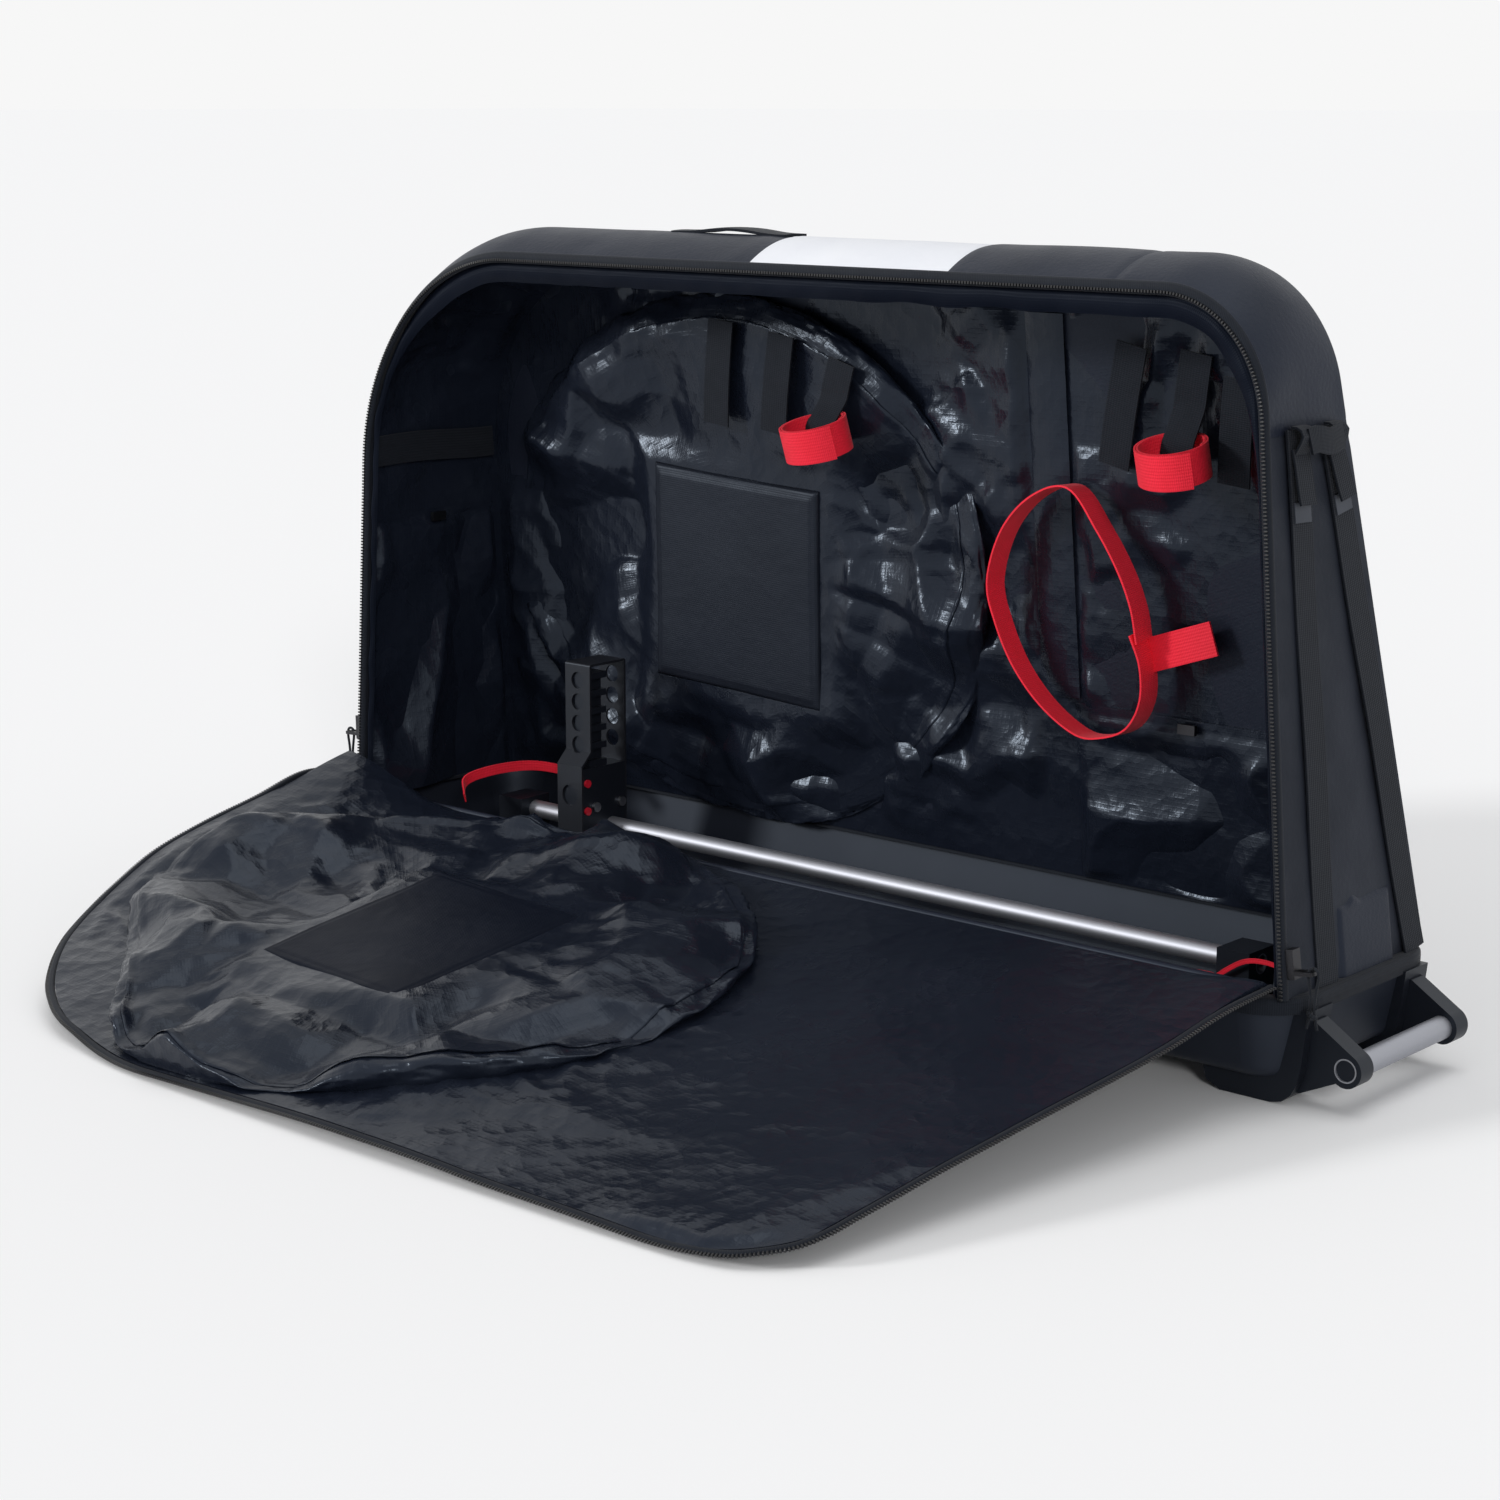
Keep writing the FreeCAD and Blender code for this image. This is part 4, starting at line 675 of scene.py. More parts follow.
def flap_place(u, w):
    v = 0.0056 + (0.6795 - 0.0056) * (1 - (1 - w) ** 1.3)
    left, right = flap_limits(v, 0.0)
    x = left + 0.0005 + u * (right - left - 0.001)
    edge = ease(min(u, 1 - u, w * 0.5, (1 - w) * 0.5) * 40)
    h = 0.0022 + flap_wave(x, v) + flap_ripple(x, v) * edge
    return flap_spot(*drawn_in(x, v), h), (x, v)


flap_cloth = lay("flap_panel_cloth", 240, 120, flap_place, thick=0.0052, flip=True)
soft_flap(flap_cloth, liner, ["flap_panel"])
flap_cloth.data.materials.append(finishes["print_fabric"])
for face in flap_cloth.data.polygons:
    if face.normal.z < -0.3:
        face.material_index = 1

REAR_STEPS = (0.006, 0.08, 0.16, 0.24, 0.32, 0.4, 0.45, 0.5, 0.54, 0.58, 0.61, 0.635, 0.655, 0.668)
FRONT_STEPS = (0.668, 0.655, 0.63, 0.6, 0.56, 0.52, 0.46, 0.4, 0.32, 0.24, 0.16, 0.08, 0.006)


def lifted_edge(grow, height):
    """The flap's three free sides as one line, from the rear end of the fold to the front one."""
    reach = FLAP_REACH + grow
    rear, front = ([(flap_limits(v + grow * v / 0.68, grow)[side], v + grow * v / 0.68) for v in steps]
                   for side, steps in enumerate((REAR_STEPS, FRONT_STEPS)))
    first, last = rear[-1][0], flap_limits(0.668 + grow, grow)[1]
    free = [(first + (last - first) * step / 28, reach - 0.012 * (abs(step - 14) / 14) ** 16)
            for step in range(1, 28)]
    normal = Vector(FLAP_NORMAL)
    return through([Vector(flap_spot(*drawn_in(x, v), 0.0)) + normal * (height + flap_wave(x, v))
                    for x, v in rear + free + front])


BOUND_EDGE, BOUND_WIDE, BOUND_HIGH = lifted_edge(0.004, 0.0002), 0.0078, 0.0062


def binding_place(u, w):
    """The bound edge round the flap, oval in section."""
    spot, ahead = BOUND_EDGE(u)
    normal = Vector(FLAP_NORMAL)
    side = ahead.cross(normal).normalized()
    turn = 2 * pi * w
    spot = spot + side * cos(turn) * BOUND_WIDE / 2 + normal * sin(turn) * BOUND_HIGH / 2
    return spot, (u * BOUND_EDGE.length, w * (BOUND_WIDE + BOUND_HIGH))


binding = lay("flap_binding_tape", 520, 10, binding_place, weld=True, smooth=70)
edit_all(lambda: bpy.ops.mesh.normals_make_consistent(inside=False))
soft_flap(binding, webbing, ["flap_binding"])


TOOTH_PITCH = 0.0038


def teeth(name, at, up_at, size):
    """A row of zip teeth: one tooth is modelled, and copied along a line."""
    deselect()
    bpy.ops.mesh.primitive_cube_add(size=1)
    tooth = bpy.context.object
    tooth.scale = size
    bpy.ops.object.transform_apply(location=False, rotation=False, scale=True)
    edit_all(lambda: bpy.ops.mesh.bevel(offset=min(size) * 0.25, segments=1, affect="EDGES"))
    shape = [v.co.copy() for v in tooth.data.vertices]
    sides = [tuple(f.vertices) for f in tooth.data.polygons]
    bpy.data.objects.remove(tooth)
    spots, faces = [], []
    count = int(at.length / TOOTH_PITCH)
    for index in range(count):
        spot, ahead = at((index + 0.5) / count)
        up = up_at(spot)
        side = ahead.cross(up).normalized()
        up = side.cross(ahead)
        base = len(spots)
        for corner in shape:
            point = spot + ahead * corner.x + side * corner.y + up * corner.z
            spots.append((point.x, point.y + CASE_Y, point.z))
        faces += [tuple(base + k for k in face) for face in sides]
    mesh = bpy.data.meshes.new(name)
    mesh.from_pydata(spots, [], faces)
    piece = bpy.data.objects.new(name, mesh)
    bpy.context.scene.collection.objects.link(piece)
    return piece


flap_teeth = teeth("flap_zip_teeth", lifted_edge(0.0088, 0.0006), lambda p: Vector(FLAP_NORMAL),
                   (0.0021, 0.0042, 0.0028))
soft_flap(flap_teeth, zip_metal)


# Round wheel pockets and their square hub pads

def wheel_pocket(name, spot, half, deep, sag, seed, pad, slack=1.0, ring=0.93, calm=lambda a, b: 1.0):
    """A slack round pocket: a face that sags round its pad, a sewn ring and a crumpled side down to the base.

    half is its half width and half height, pad the middle and half side of its pad, slack how deep it is
    folded and ring the face's share; spot(a, b, h) gives a place, and calm how much of the folds is left.
    """
    face_to, ring_to = 0.66, 0.7

    def place(u, w):
        turn = 2 * pi * u
        ca, sa = cos(turn), sin(turn)
        wobble = 0.03 * swell((ca, sa, 0), 0.55, seed) + 0.012 * swell((ca, sa, 0), 0.2, seed)
        side_folds = crease((ca * half[0], sa * half[1], 0.25 * w), 0.055, seed + 4, 3)
        if w < face_to:
            r = (ring + wobble) * w / face_to
            rise = 1.0
        elif w < ring_to:
            r = ring + wobble + 0.012 * sin((w - face_to) / (ring_to - face_to) * pi)
            rise = 1.0
        else:
            t = (w - ring_to) / (1 - ring_to)
            swollen = 0.5 - 0.5 * ring + 0.03 * side_folds
            r = ring + wobble + (1 - ring - wobble) * t + swollen * sin(pi * t)
            rise = 1 - t ** 1.2
        a, b = r * half[0] * ca, r * half[1] * sa
        off_pad = max(abs(a - pad[0]), abs(b - pad[1])) - pad[2]
        loose = slack * ease(off_pad / 0.05)
        round_in = w / face_to if w < face_to else 1.0
        face = deep * (1 - sag * ease((0.98 - round_in) / 0.5))
        folds = 0.042 * facets(a, b, 0.14, seed + 1) + 0.014 * facets(a, b, 0.055, seed + 3) - 0.023
        pulls = 0.006 * facets(0.9 * ca, 0.9 * sa + 0.1 * round_in, 0.13, seed + 6)
        h = (face + (folds + pulls) * loose * calm(a, b) * (0.55 + 0.45 * round_in)) * rise
        if w >= face_to:
            h += 0.004 * side_folds * sin(pi * (1 - rise))
        if face_to - 0.012 < w < ring_to:
            h += 0.0015
        return spot(a, b, max(h, 0.0004)), (turn * 0.3, r * half[0])

    return lay(name, 340, 110, place, weld=True, thick=0.0012, offset=0.0, smooth=80)


def hub_pad(name, spot, side, thick, seed):
    """A stitched square pad, crowned, its sides drawn in between the corners."""
    def place(u, w):
        a, b = 2 * u - 1, 2 * w - 1
        pull = 0.012
        x = side / 2 * a * (1 - pull * (1 - b * b))
        y = side / 2 * b * (1 - pull * (1 - a * a))
        edge = min(1 - abs(a), 1 - abs(b)) * side / 2
        h = thick * (0.25 + 0.75 * min(1.0, edge / 0.01) ** 0.5)
        h -= 0.0012 * exp(-((edge - 0.009) / 0.0016) ** 2)
        h += 0.0016 * swell((x, y, 0), 0.11, seed) + 0.0006 * crease((x, y, 0), 0.05, seed)
        return spot(x, y, h), (x, y)

    piece = lay(name, 96, 96, place, smooth=80)
    modify(piece, "SOLIDIFY", thickness=0.004, offset=-1.0)
    return piece


def turned(spot, middle, degrees, height):
    """Places on a pocket's face, turned a little about the middle of its pad."""
    turn = radians(degrees)

    def place(a, b, h):
        x, y = a * cos(turn) - b * sin(turn), a * sin(turn) + b * cos(turn)
        return spot(x + middle[0], y + middle[1], height + h)

    return place


def on_flap(a, b, h):
    """A place on the flap's pocket, humped where the cloth is pushed up beside the stand."""
    x, v = FLAP_POCKET[0] + a, min(0.674, max(0.01, FLAP_POCKET[1] - b))
    hump = 1 + 0.55 * ease((0.16 - v) / 0.1) * ease(1.3 - abs(x + 0.34) / 0.24)
    return flap_spot(*drawn_in(x, v), 0.0035 + flap_wave(x, v) * 0.6 + h * hump)


def on_back(a, b, h):
    """A place on the back wall's pocket."""
    x, z = BACK_POCKET[0] + a, BACK_POCKET[1] + b
    return x, far_y(x, z) - WALL - 0.0006 - h, z


def under_holders(a, b):
    """The pocket's cloth is pulled flat where the holders are sewn on."""
    return 1 - 0.75 * ease((b - 0.1) / 0.08) * ease((a + 0.09) / 0.05) * ease((0.3 - a) / 0.06)


flap_pocket = wheel_pocket("flap_wheel_pocket_cloth", on_flap, (0.408, 0.334), 0.044, 0.26, 3.0,
                           (*FLAP_PAD, 0.135), 0.8, 0.97)
soft_flap(flap_pocket, liner, ["flap_wheel_pocket"])
flap_pad = hub_pad("flap_hub_pad_cloth", turned(on_flap, FLAP_PAD, -6, 0.0312), 0.255, 0.0032, 3.0)
soft_flap(flap_pad, smooth_liner, ["flap_hub_pad"])

back_pocket = wheel_pocket("back_wheel_pocket_cloth", on_back, (0.378, 0.316), 0.032, 0.22, 7.0,
                           (*BACK_PAD, 0.142), calm=under_holders)
dress(back_pocket, liner, ["back_wheel_pocket"])
back_pad = hub_pad("back_hub_pad_cloth", turned(on_back, BACK_PAD, -3, 0.024), 0.27, 0.008, 5.0)
dress(back_pad, padding, ["back_hub_pad"])


# Zip round the opening

def opening_spot(u, back, inset):
    """A place along the opening's edge, back from it and in from the arch's outside, and the run to it."""
    x, y, z, nx, nz, s = wall_spot(rear_foot, front_foot, u, lambda x, z: near_y(z) + back, 0.0)
    return (x - nx * inset, y, z - nz * inset), s


def opening_line(back, inset):
    """A line along the opening's edge."""
    return [opening_spot(step / 150, back, inset)[0] for step in range(151)]


def edge_wrap(u, w):
    """The tape that folds over the opening's edge, from the outside to the liner."""
    out, turn_run, inside = 0.0025, 0.0105, 0.008
    run = w * (out + turn_run + inside)
    if run < out:
        back, inset = out - run, -0.0022
    elif run < out + turn_run:
        angle = (run - out) / turn_run * pi
        back, inset = -0.0042 * sin(angle), 0.0025 - 0.0047 * cos(angle)
    else:
        back, inset = run - out - turn_run, 0.0072
    spot, s = opening_spot(u, back, inset)
    return spot, (s, run)


opening_tape = lay("opening_zip_tape", 420, 14, edge_wrap, thick=0.0012, offset=0.0)
dress(opening_tape, webbing, ["opening_zip"])


def outward(p):
    return Vector((p.x, 0.0, p.z - 0.45)).normalized()


opening_teeth = teeth("opening_zip_teeth", through(opening_line(-0.0056, 0.001)), outward,
                      (0.0021, 0.0034, 0.0032))
dress(opening_teeth, zip_metal)
dress(tube("opening_piping", opening_line(0.0032, -0.0012), 0.0013, 8), cloth)


def lip_place(u, w):
    """The padded lip that hangs inside the opening, deep along the top and narrow up the sides."""
    y = 0.0
    for _ in range(3):
        arch = Arch(y, 0.0)
        x, z, nx, nz = arch.point(u * arch.length)
        y = near_y(z)
    deep = 0.008 + 0.017 * ease((u - 0.2) / 0.08) * ease((0.8 - u) / 0.06)
    bulge = 0.0045 * sin(pi * w) * (1 + 0.5 * swell((u * 2.6, 0, 0), 0.04, 2.0))
    inset = 0.0066 + deep * w * (1 + 0.12 * swell((u * 2.6, 0, 0), 0.06, 5.0))
    return (x - nx * inset, y + 0.0065 - bulge, z - nz * inset), (u * arch.length, w * deep)


lip = lay("opening_lip_cloth", 520, 8, lip_place, thick=0.0012, offset=0.0)
dress(lip, smooth_liner)


# Sill that the flap folds about, tray hem and floor pad

def sill_foot_place(u, w):
    x, y = -0.64 + 1.28 * u, HINGE_Y + 0.0012 * swell((u * 12, 0, 0), 1.0)
    return (x, y, 0.1145 + w * 0.0075), (u * 1.28, w * 0.01)


sill = tube("near_sill_roll", [(-0.64 + 1.28 * k / 12, HINGE_Y, HINGE_Z) for k in range(13)], 0.0043, 12)
sill_foot = lay("near_sill_foot", 80, 4, sill_foot_place, thick=0.0044, offset=0.0)
dress(join("near_sill_cloth", [sill, sill_foot]), cloth, ["near_sill"])


def rim_line(half_x, half_y, corner, gap):
    """A rounded rectangle in even steps, from the middle of the near side and back to it."""
    ring = [Vector((0.0, -half_y, 0.0))]
    for sx, sy, start in ((1, -1, -90), (1, 1, 0), (-1, 1, 90), (-1, -1, 180)):
        for step in range(9):
            turn = radians(start + 90 * step / 8)
            ring.append(Vector((sx * (half_x - corner) + corner * cos(turn),
                                sy * (half_y - corner) + corner * sin(turn), 0.0)))
    ring.append(ring[0])
    points = [ring[0]]
    for a, b in zip(ring, ring[1:]):
        count = max(1, round((b - a).length / gap))
        points += [a.lerp(b, step / count) for step in range(1, count + 1)]
    return points


RIM = through(rim_line(0.69, 0.15, 0.058, 0.012))
HEM = ((0.0008, -0.0115), (0.003, -0.0115), (0.0032, -0.004), (0.003, 0.0008), (0.0012, 0.003),
       (-0.003, 0.0037), (-0.01, 0.0037), (-0.0145, 0.003), (-0.0155, 0.0006))


def hem_place(u, w):
    """The hem's section, out from the rim's line and up, carried round the tray."""
    spot = w * (len(HEM) - 1)
    index = min(int(spot), len(HEM) - 2)
    (a, h0), (b, h1) = HEM[index:index + 2]
    out, high = a + (b - a) * (spot - index), h0 + (h1 - h0) * (spot - index)
    point, ahead = RIM(u)
    point = point + Vector((ahead.y, -ahead.x, 0.0)) * out
    return (point.x, point.y, RIM_Z + high), (u * RIM.length, w * 0.035)


hem = lay("rim_hem_tape", 460, 24, hem_place, weld=True, thick=0.0012, flip=True)
dress(hem, webbing, ["rim_hem"])


def pad_place(u, w):
    """The floor pad: a rounded rectangle with a soft edge."""
    half_x, half_y, corner = 0.64, 0.1, 0.042
    a, b = 2 * u - 1, 2 * w - 1
    x, y = half_x * a, half_y * b
    dx, dy = max(0.0, abs(x) - half_x + corner), max(0.0, abs(y) - half_y + corner)
    if dx and dy:
        shrink = max(dx, dy) / hypot(dx, dy)
        x -= copysign(dx * (1 - shrink), x)
        y -= copysign(dy * (1 - shrink), y)
    edge = min((1 - abs(a)) * half_x, (1 - abs(b)) * half_y)
    h = 0.0064 * min(1.0, edge / 0.012) ** 0.5 + 0.0006 * swell((x, y, 0), 0.15)
    return (x, y, 0.0325 + h), (x, y)


floor_cloth = lay("floor_pad_cloth", 160, 40, pad_place)
modify(floor_cloth, "SOLIDIFY", thickness=0.0005, offset=-1.0)
dress(floor_cloth, padding, ["floor_pad"])


# Webbing holders, rolled straps and the red loop on the back wall

def on_wall(x, z, depth):
    """A place on the back wall, depth in from its outer face."""
    return x, far_y(x, z) - depth, z


# x, low and high ends, depth, lean, and whether it hangs inside a rolled strap
HOLDERS = (
    (-0.232, 0.604, 0.728, ON_POCKET, 0.012, False), (-0.137, 0.601, 0.716, ON_POCKET, 0.016, False),
    (-0.048, 0.604, 0.69, ON_POCKET, 0.024, True), (0.345, 0.598, 0.73, ON_WALL, 0.028, False),
    (0.433, 0.612, 0.726, ON_WALL, 0.018, True), (0.49, 0.59, 0.702, ON_WALL, 0.01, False))


def holder(index, x, low, high, depth, lean, in_ring):
    """One hanging webbing holder, sewn at its top."""
    points = []
    for step in range(7):
        t = step / 6
        z = high + (low - high) * t
        forward = 0.02 * ease((t - 0.45) / 0.5) if in_ring else 0.003 * t * t
        off = 0.0018 + 0.004 * sin(t * 2.6) + forward
        points.append(on_wall(x + lean * (0.5 - t), z, depth + off))
    return ribbon(f"holder_{index}", points, 0.04, (1, -0.05, 0))


holders = [holder(index, *row) for index, row in enumerate(HOLDERS)]
dress(join("holder_straps_webbing", holders), webbing, ["holder_straps"])


def rolled(name, x, top, depth, tilt, turn_from):
    """A strap rolled into a ring that stands out from the wall and nods forward, its outer end loose."""
    nod = radians(14)
    centre = Vector(on_wall(x, top, depth + 0.0417)) - Vector((0, 0, 0.02))
    points = []
    for step in range(41):
        t = step / 40
        turn = turn_from + 2 * pi * 1.9 * t
        r = 0.0345 + 0.005 * t + 0.006 * max(0.0, (t - 0.86) / 0.14) ** 2
        across, deep = r * cos(turn), r * sin(turn)
        points.append(centre + Vector((across, deep * cos(nod), tilt * across + deep * sin(nod))))
    return ribbon(name, points, 0.039, (-tilt, -sin(nod), cos(nod)), thick=0.0018)


rolls = [rolled("roll_near_pad", -0.048, 0.625, ON_POCKET - 0.004, 0.1, 0.18),
         rolled("roll_near_end", 0.433, 0.635, ON_WALL - 0.004, 0.02, 0.05)]
dress(join("rolled_straps_webbing", rolls), red, ["rolled_straps"])

LOOP_OFF = 0.0387
LOOP = ((0.362, 0.42), (0.374, 0.385), (0.372, 0.345), (0.352, 0.312), (0.318, 0.297), (0.284, 0.296),
        (0.24, 0.322), (0.204, 0.362), (0.181, 0.41), (0.172, 0.458), (0.196, 0.518), (0.24, 0.56),
        (0.29, 0.573), (0.326, 0.53), (0.352, 0.486), (0.366, 0.448), (0.371, 0.412))
loop_points = [on_wall(x, z, LOOP_OFF + 0.003 * sin(7 * x)) for x, z in LOOP]
loop_band = ribbon("loop_band", loop_points, 0.036, (0.08, -1, 0.05), thick=0.002)
tab_points = [on_wall(0.364 + 0.088 * t, 0.392 + 0.03 * t, WALL + 0.019 + 0.003 * sin(3 * t))
              for t in (0, 0.25, 0.5, 0.75, 1)]
loop_tab = ribbon("loop_tab", tab_points, 0.038, (-0.33, 0, 1), thick=0.003)
dress(join("red_loop_webbing", [loop_band, loop_tab]), red, ["red_loop_strap"])


def sleeve_place(u, w):
    bulge = 0.003 * sin(pi * u) ** 0.6 + 0.0012 * crease((u * 0.05, w * 0.43, 0), 0.03, 3.0)
    return on_wall(0.206 + 0.052 * u, 0.327 + 0.43 * w, WALL + 0.0008 + bulge), (u * 0.052, w * 0.43)


dress(lay("rod_sleeve_cloth", 10, 60, sleeve_place, thick=0.0012, offset=0.0), liner, ["rod_sleeve"])


# Zipped pockets: low on the back wall, on the rear end wall, and outside on the front end wall

def wall_pocket(u, w):
    """The zipped pocket low on the back wall, flat and grooved along its zip."""
    x, z = 0.25 + 0.31 * u, POCKET_FOOT + 0.207 * w
    edge = ease(min(u * 14, 14 - 14 * u, 14 * w, 7 - 7 * w))
    bulge = 0.0036 * edge + 0.016 * edge * facets(x, z, 0.07, 35.0) * ease((0.3 - z) / 0.03)
    bulge -= 0.0009 * exp(-((w - 0.945) / 0.015) ** 2)
    return on_wall(x, z, WALL + 0.0006 + bulge), (x, z)


dress(lay("back_pocket_cloth", 90, 60, wall_pocket, thick=0.0014), liner, ["back_pocket"])


def rear_spot(y_share, z, inset, margin):
    """A point on the rear end wall, inset from its outer face; y_share from the zip to the back wall."""
    arch = Arch(0.0, inset)
    x = arch.rear - (z - SHELL_Z) * tan(REAR_LEAN)
    low, high = near_y(z) + margin, far_y(x, z) - WALL - margin
    return x, low + y_share * (high - low), z


def rear_pocket_place(u, w):
    z = POCKET_FOOT + 0.354 * w
    edge = ease(min(u, 1 - u, 1 - w) * 16)
    lift = edge * (0.0045 + 0.016 * facets(u * 0.25, z * 0.7, 0.065, 6.0))
    lift -= 0.003 * exp(-((w - 0.965) / 0.012) ** 2)
    return rear_spot(u, z, WALL + 0.0008 + lift, 0.011), (u * 0.25, z)


def elastic_place(u, w):
    z = 0.531 + 0.038 * w + 0.002 * sin(5 * u)
    return rear_spot(u, z, WALL + 0.0055 + 0.002 * sin(pi * u), 0.008), (u * 0.24, w * 0.04)


dress(lay("rear_pocket_cloth", 60, 90, rear_pocket_place, thick=0.0014), liner, ["rear_pocket"])
elastic = lay("rear_elastic_webbing", 60, 8, elastic_place, thick=0.0018, offset=0.0)
dress(elastic, webbing, ["rear_elastic_band"])


def front_spot(y, z, out):
    """A point on the front end wall, out from its outer face."""
    return Arch(0.0, -out).front - (z - SHELL_Z) * tan(FRONT_LEAN), y, z


def document_place(u, w):
    y, z = -0.036 + 0.11 * u, POCKET_FOOT + 0.074 * w
    notch = 0.007 * ease(1 - abs(u - 0.32) / 0.14)
    edge = ease(min(u, 1 - u, 1 - w) * 12)
    return front_spot(y, z + notch * w ** 4, 0.0008 + 0.0042 * edge), (y, z)


document = lay("document_pocket_cloth", 40, 30, document_place, thick=0.0012, offset=1.0, flip=True)
dress(document, cloth, ["document_pocket"])


# Straps and handles

STRAPS = {"near": (-0.063, -1.9), "far": (0.112, 9.7)}
TAIL = (0.646, 0.64, 0.63, 0.615, 0.6, 0.592)
FOLD = ((0.612, 0.0034), (0.628, 0.0042), (0.642, 0.0085), (0.652, 0.015), (0.66, 0.0188), (0.667, 0.015),
        (0.668, 0.006))
GRIP_Z = 0.654
CARRY = ((-0.258, 0.8316), (-0.24, 0.8318), (-0.222, 0.8326), (-0.205, 0.8344), (-0.187, 0.836),
         (-0.168, 0.8366), (-0.149, 0.836), (-0.131, 0.8344), (-0.114, 0.8326), (-0.099, 0.8318),
         (-0.082, 0.8316))
ACROSS = (0, 1, 0)


def on_strap(word, z, out):
    """A point on the middle line of a front strap, out from the end wall."""
    foot, turn = STRAPS[word]
    return front_spot(foot - (z - RIM_Z) * tan(radians(turn)), z, out)


tails, grips = [], []
for word in STRAPS:
    heights = [POCKET_FOOT + 0.55 * k / 14 for k in range(15)]
    route = [on_strap(word, z, 0.0042 + 0.0008 * sin(z * 23)) for z in heights]
    dress(ribbon(f"front_strap_{word}_webbing", route, 0.038, ACROSS), webbing, [f"front_strap_{word}"])
    route = [on_strap(word, z, 0.007 + 0.0014 * k) for k, z in enumerate(TAIL)]
    tails.append(ribbon(f"tail_{word}", route, 0.03, ACROSS))
    grips.append(ribbon(f"fold_{word}", [on_strap(word, z, out) for z, out in FOLD], 0.024, ACROSS))
dress(join("strap_tails_webbing", tails), webbing, ["strap_tails"])
near, far = (on_strap(word, GRIP_Z, 0.0)[1] for word in STRAPS)
route = [front_spot(near + (far - near) * k / 8, GRIP_Z + 0.002 * sin(k),
                    0.0192 + 0.0014 * sin(pi * k / 8)) for k in range(9)]
grips.append(ribbon("grip_band", route, 0.027, (-0.13, 0, 1), thick=0.0026))
dress(join("front_handle_webbing", grips), webbing, ["front_handle"])
carry = ribbon("top_handle_webbing", [(x, 0.012, z) for x, z in CARRY], 0.037, ACROSS, 0.0032, crown=-0.0008)
dress(carry, webbing, ["top_handle"])

# Red straps that hold the rail down, lying slack beside its ends

SLACK = (
    ((-0.56, -0.07, 0.118), (-0.582, -0.048, 0.133), (-0.576, -0.012, 0.141), (-0.56, 0.034, 0.143),
     (-0.531, 0.056, 0.141), (-0.5, 0.064, 0.134), (-0.48, 0.06, 0.118)),
    ((0.478, -0.0135, 0.0785), (0.498, -0.014, 0.08), (0.52, -0.015, 0.0805), (0.545, -0.015, 0.078)),
    ((0.522, -0.018, 0.08), (0.54, -0.019, 0.094), (0.56, -0.021, 0.106), (0.58, -0.024, 0.111),
     (0.602, -0.026, 0.1105), (0.622, -0.026, 0.103)))
hold_downs = [ribbon(f"hold_down_{index}", points, width, (0, -0.25, 1), thick=0.0018)
              for index, (points, width) in enumerate(zip(SLACK, (0.013, 0.01, 0.005)))]
dress(join("stand_straps_webbing", hold_downs), red, ["stand_straps"])


# Cord pulls on the main sliders

STRAND = ((0.0004, 0.005), (0.0046, 0.0046), (0.006, -0.004), (0.0036, -0.016), (0.0022, -0.028),
          (0.0021, -0.04), (0.004, -0.048), (0.006, -0.057))


def cord_pull(word, bar):
    """A doubled cord through the slider's bail: two strands drawn together in a knot, their ends loose."""
    x, y, z = bar
    turns = [(x + 0.0036 * cos(k * 1.05), y + 0.0036 * sin(k * 1.05), z - 0.034 - 0.0018 * k)
             for k in range(8)]
    knot = tube(f"slider_pull_{word}_knot", turns, 0.0024, 8)
    dress(knot, cord, [f"slider_pull_{word}"], f"pull_{word}")
    for side in (-1, 1):
        route = [(x + side * a, y + CASE_Y, z + h) for a, h in STRAND]
        line = bpy.data.curves.new(f"slider_pull_{word}_strand_{side + 1}", "CURVE")
        line.dimensions = "3D"
        spline = line.splines.new("NURBS")
        spline.points.add(len(route) - 1)
        for point, spot in zip(spline.points, route):
            point.co = (*spot, 1)
        spline.order_u = 3
        spline.use_endpoint_u = True
        line.bevel_depth, line.bevel_resolution, line.use_fill_caps = 0.0016, 3, True
        strand = bpy.data.objects.new(line.name, line)
        bpy.context.scene.collection.objects.link(strand)
        dress(strand, cord, body=f"pull_{word}")


cord_pull("front", (0.705595, -0.127115, 0.144724))
cord_pull("rear", (-0.71319, -0.123012, 0.191282))


# Floor, light and camera

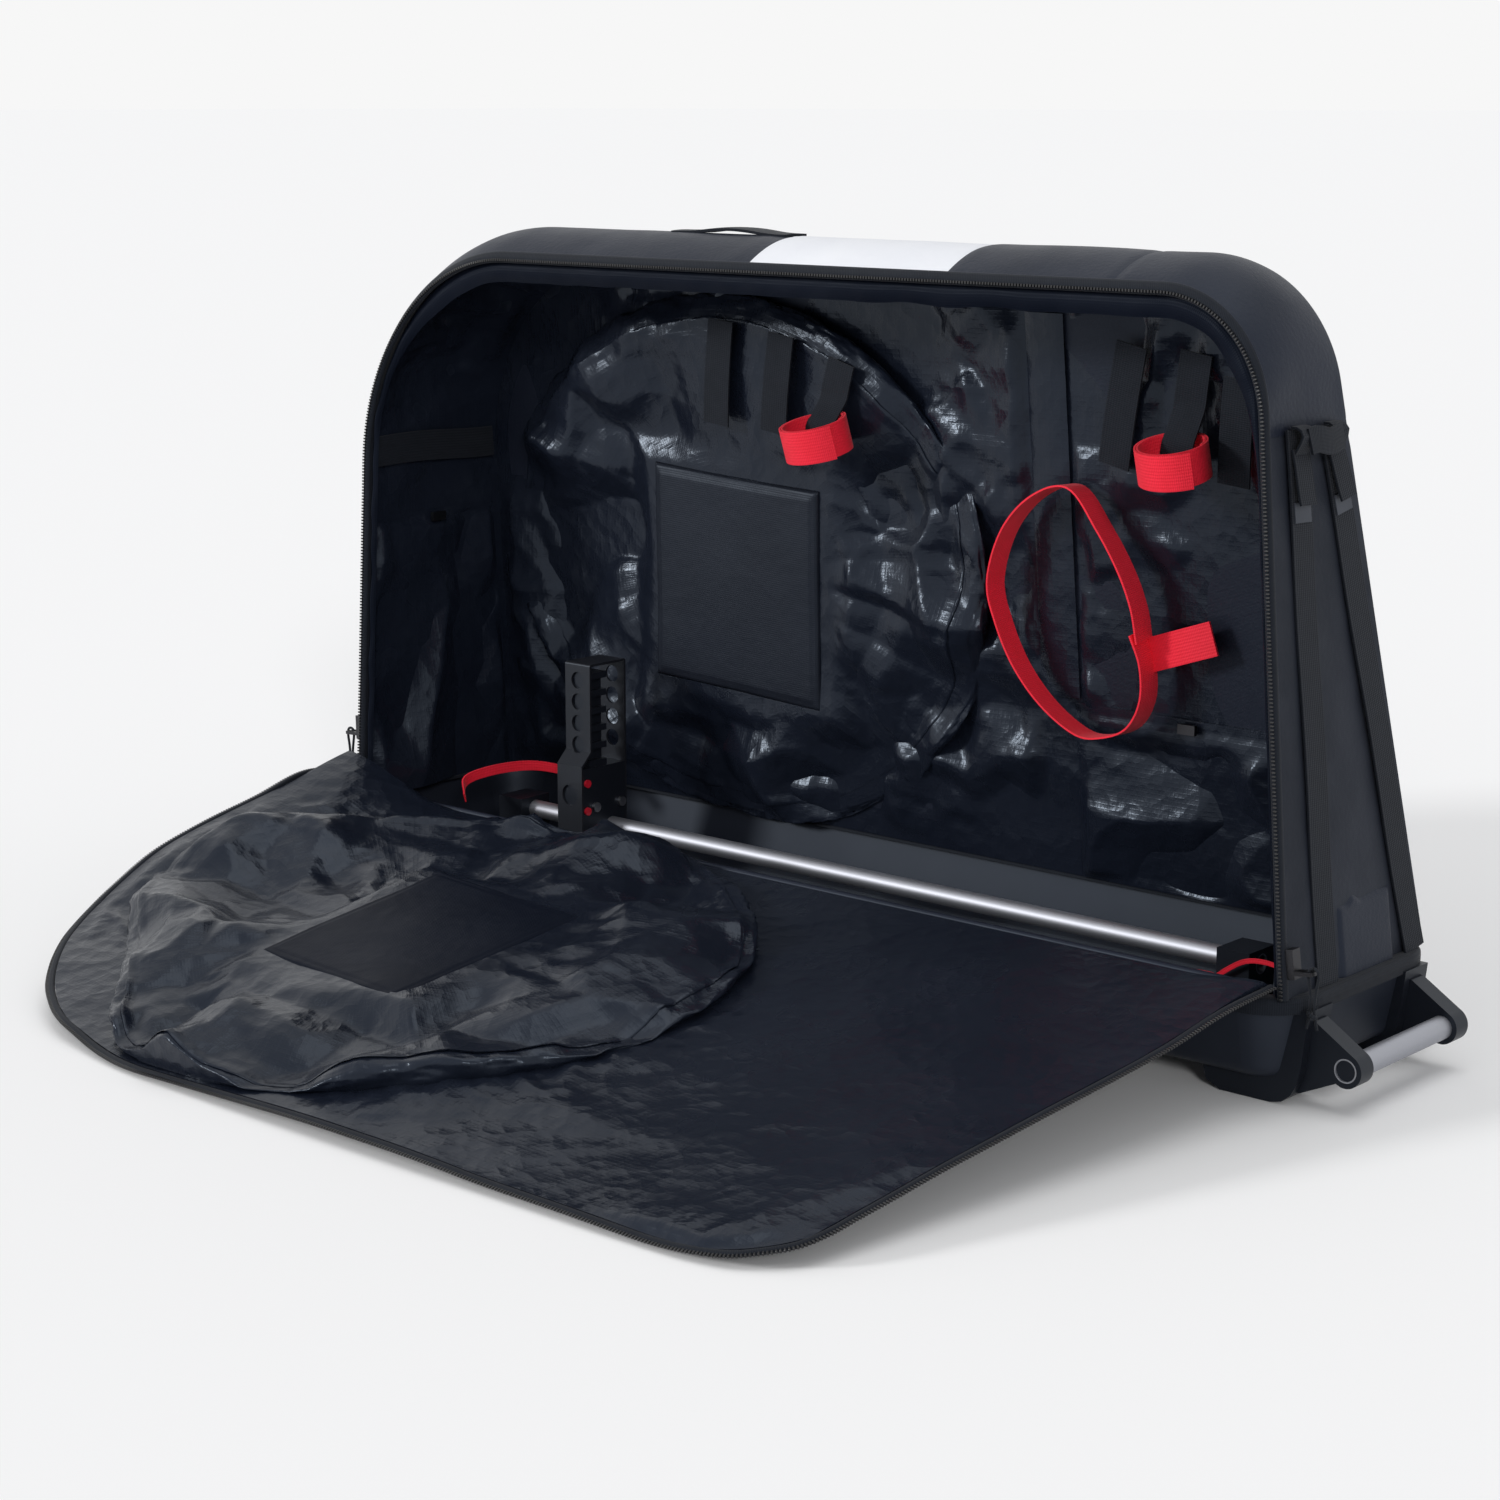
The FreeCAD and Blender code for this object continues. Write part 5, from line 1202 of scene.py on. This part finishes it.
deselect()
bpy.ops.mesh.primitive_plane_add(size=600, location=(0, 0, -0.0006))
ground = bpy.context.object
ground.name = "studio_floor"
ground.data.materials.append(Finish("floor", (0.99, 0.99, 0.99), 1.0, Specular_IOR_Level=0.0).material)

scene = bpy.context.scene
scene.world = scene.world or bpy.data.worlds.new("studio")
scene.world.use_nodes = True
air, air_links = scene.world.node_tree.nodes, scene.world.node_tree.links
sky = air["Background"]
sky.inputs["Color"].default_value = (0.9, 0.905, 0.92, 1)
sky.inputs["Strength"].default_value = 0.56
backdrop = air.new("ShaderNodeBackground")
backdrop.inputs["Color"].default_value = (0.93, 0.93, 0.93, 1)
rays = air.new("ShaderNodeLightPath")
seen = rays.outputs["Is Camera Ray"]
for kind in ("Is Glossy Ray", "Is Transmission Ray"):
    either = air.new("ShaderNodeMath")
    either.operation = "MAXIMUM"
    air_links.new(seen, either.inputs[0])
    air_links.new(rays.outputs[kind], either.inputs[1])
    seen = either.outputs[0]
choose = air.new("ShaderNodeMixShader")
air_links.new(seen, choose.inputs["Fac"])
air_links.new(sky.outputs[0], choose.inputs[1])
air_links.new(backdrop.outputs[0], choose.inputs[2])
air_links.new(choose.outputs[0], air["World Output"].inputs["Surface"])


def softbox(name, spot, aim, spread, power):
    """A lamp as wide as spread, in degrees, that shines from spot towards aim."""
    lamp = bpy.data.lights.new(name, "SUN")
    lamp.angle, lamp.energy = radians(spread), power
    box = bpy.data.objects.new(name, lamp)
    scene.collection.objects.link(box)
    box.location = spot
    box.rotation_euler = (Vector(aim) - Vector(spot)).to_track_quat("-Z", "Y").to_euler()


softbox("key", (-2.2, -2.7, 1.5), (0.0, 0.1, 0.3), 11, 1.5)
softbox("fill", (2.6, -1.9, 1.7), (0.1, 0.2, 0.4), 12, 0.8)
softbox("top", (0.3, 0.5, 3.4), (0.0, 0.2, 0.4), 40, 0.55)

camera = bpy.data.objects.new("camera", bpy.data.cameras.new("camera"))
camera.data.lens, camera.data.sensor_width = 72.39, 36.0
camera.location = (2.166, -2.29603, 0.9808)
camera.rotation_euler = (radians(90 - 12.14), 0.0, radians(41.27))
scene.collection.objects.link(camera)
scene.camera = camera
scene.view_settings.view_transform = "Standard"
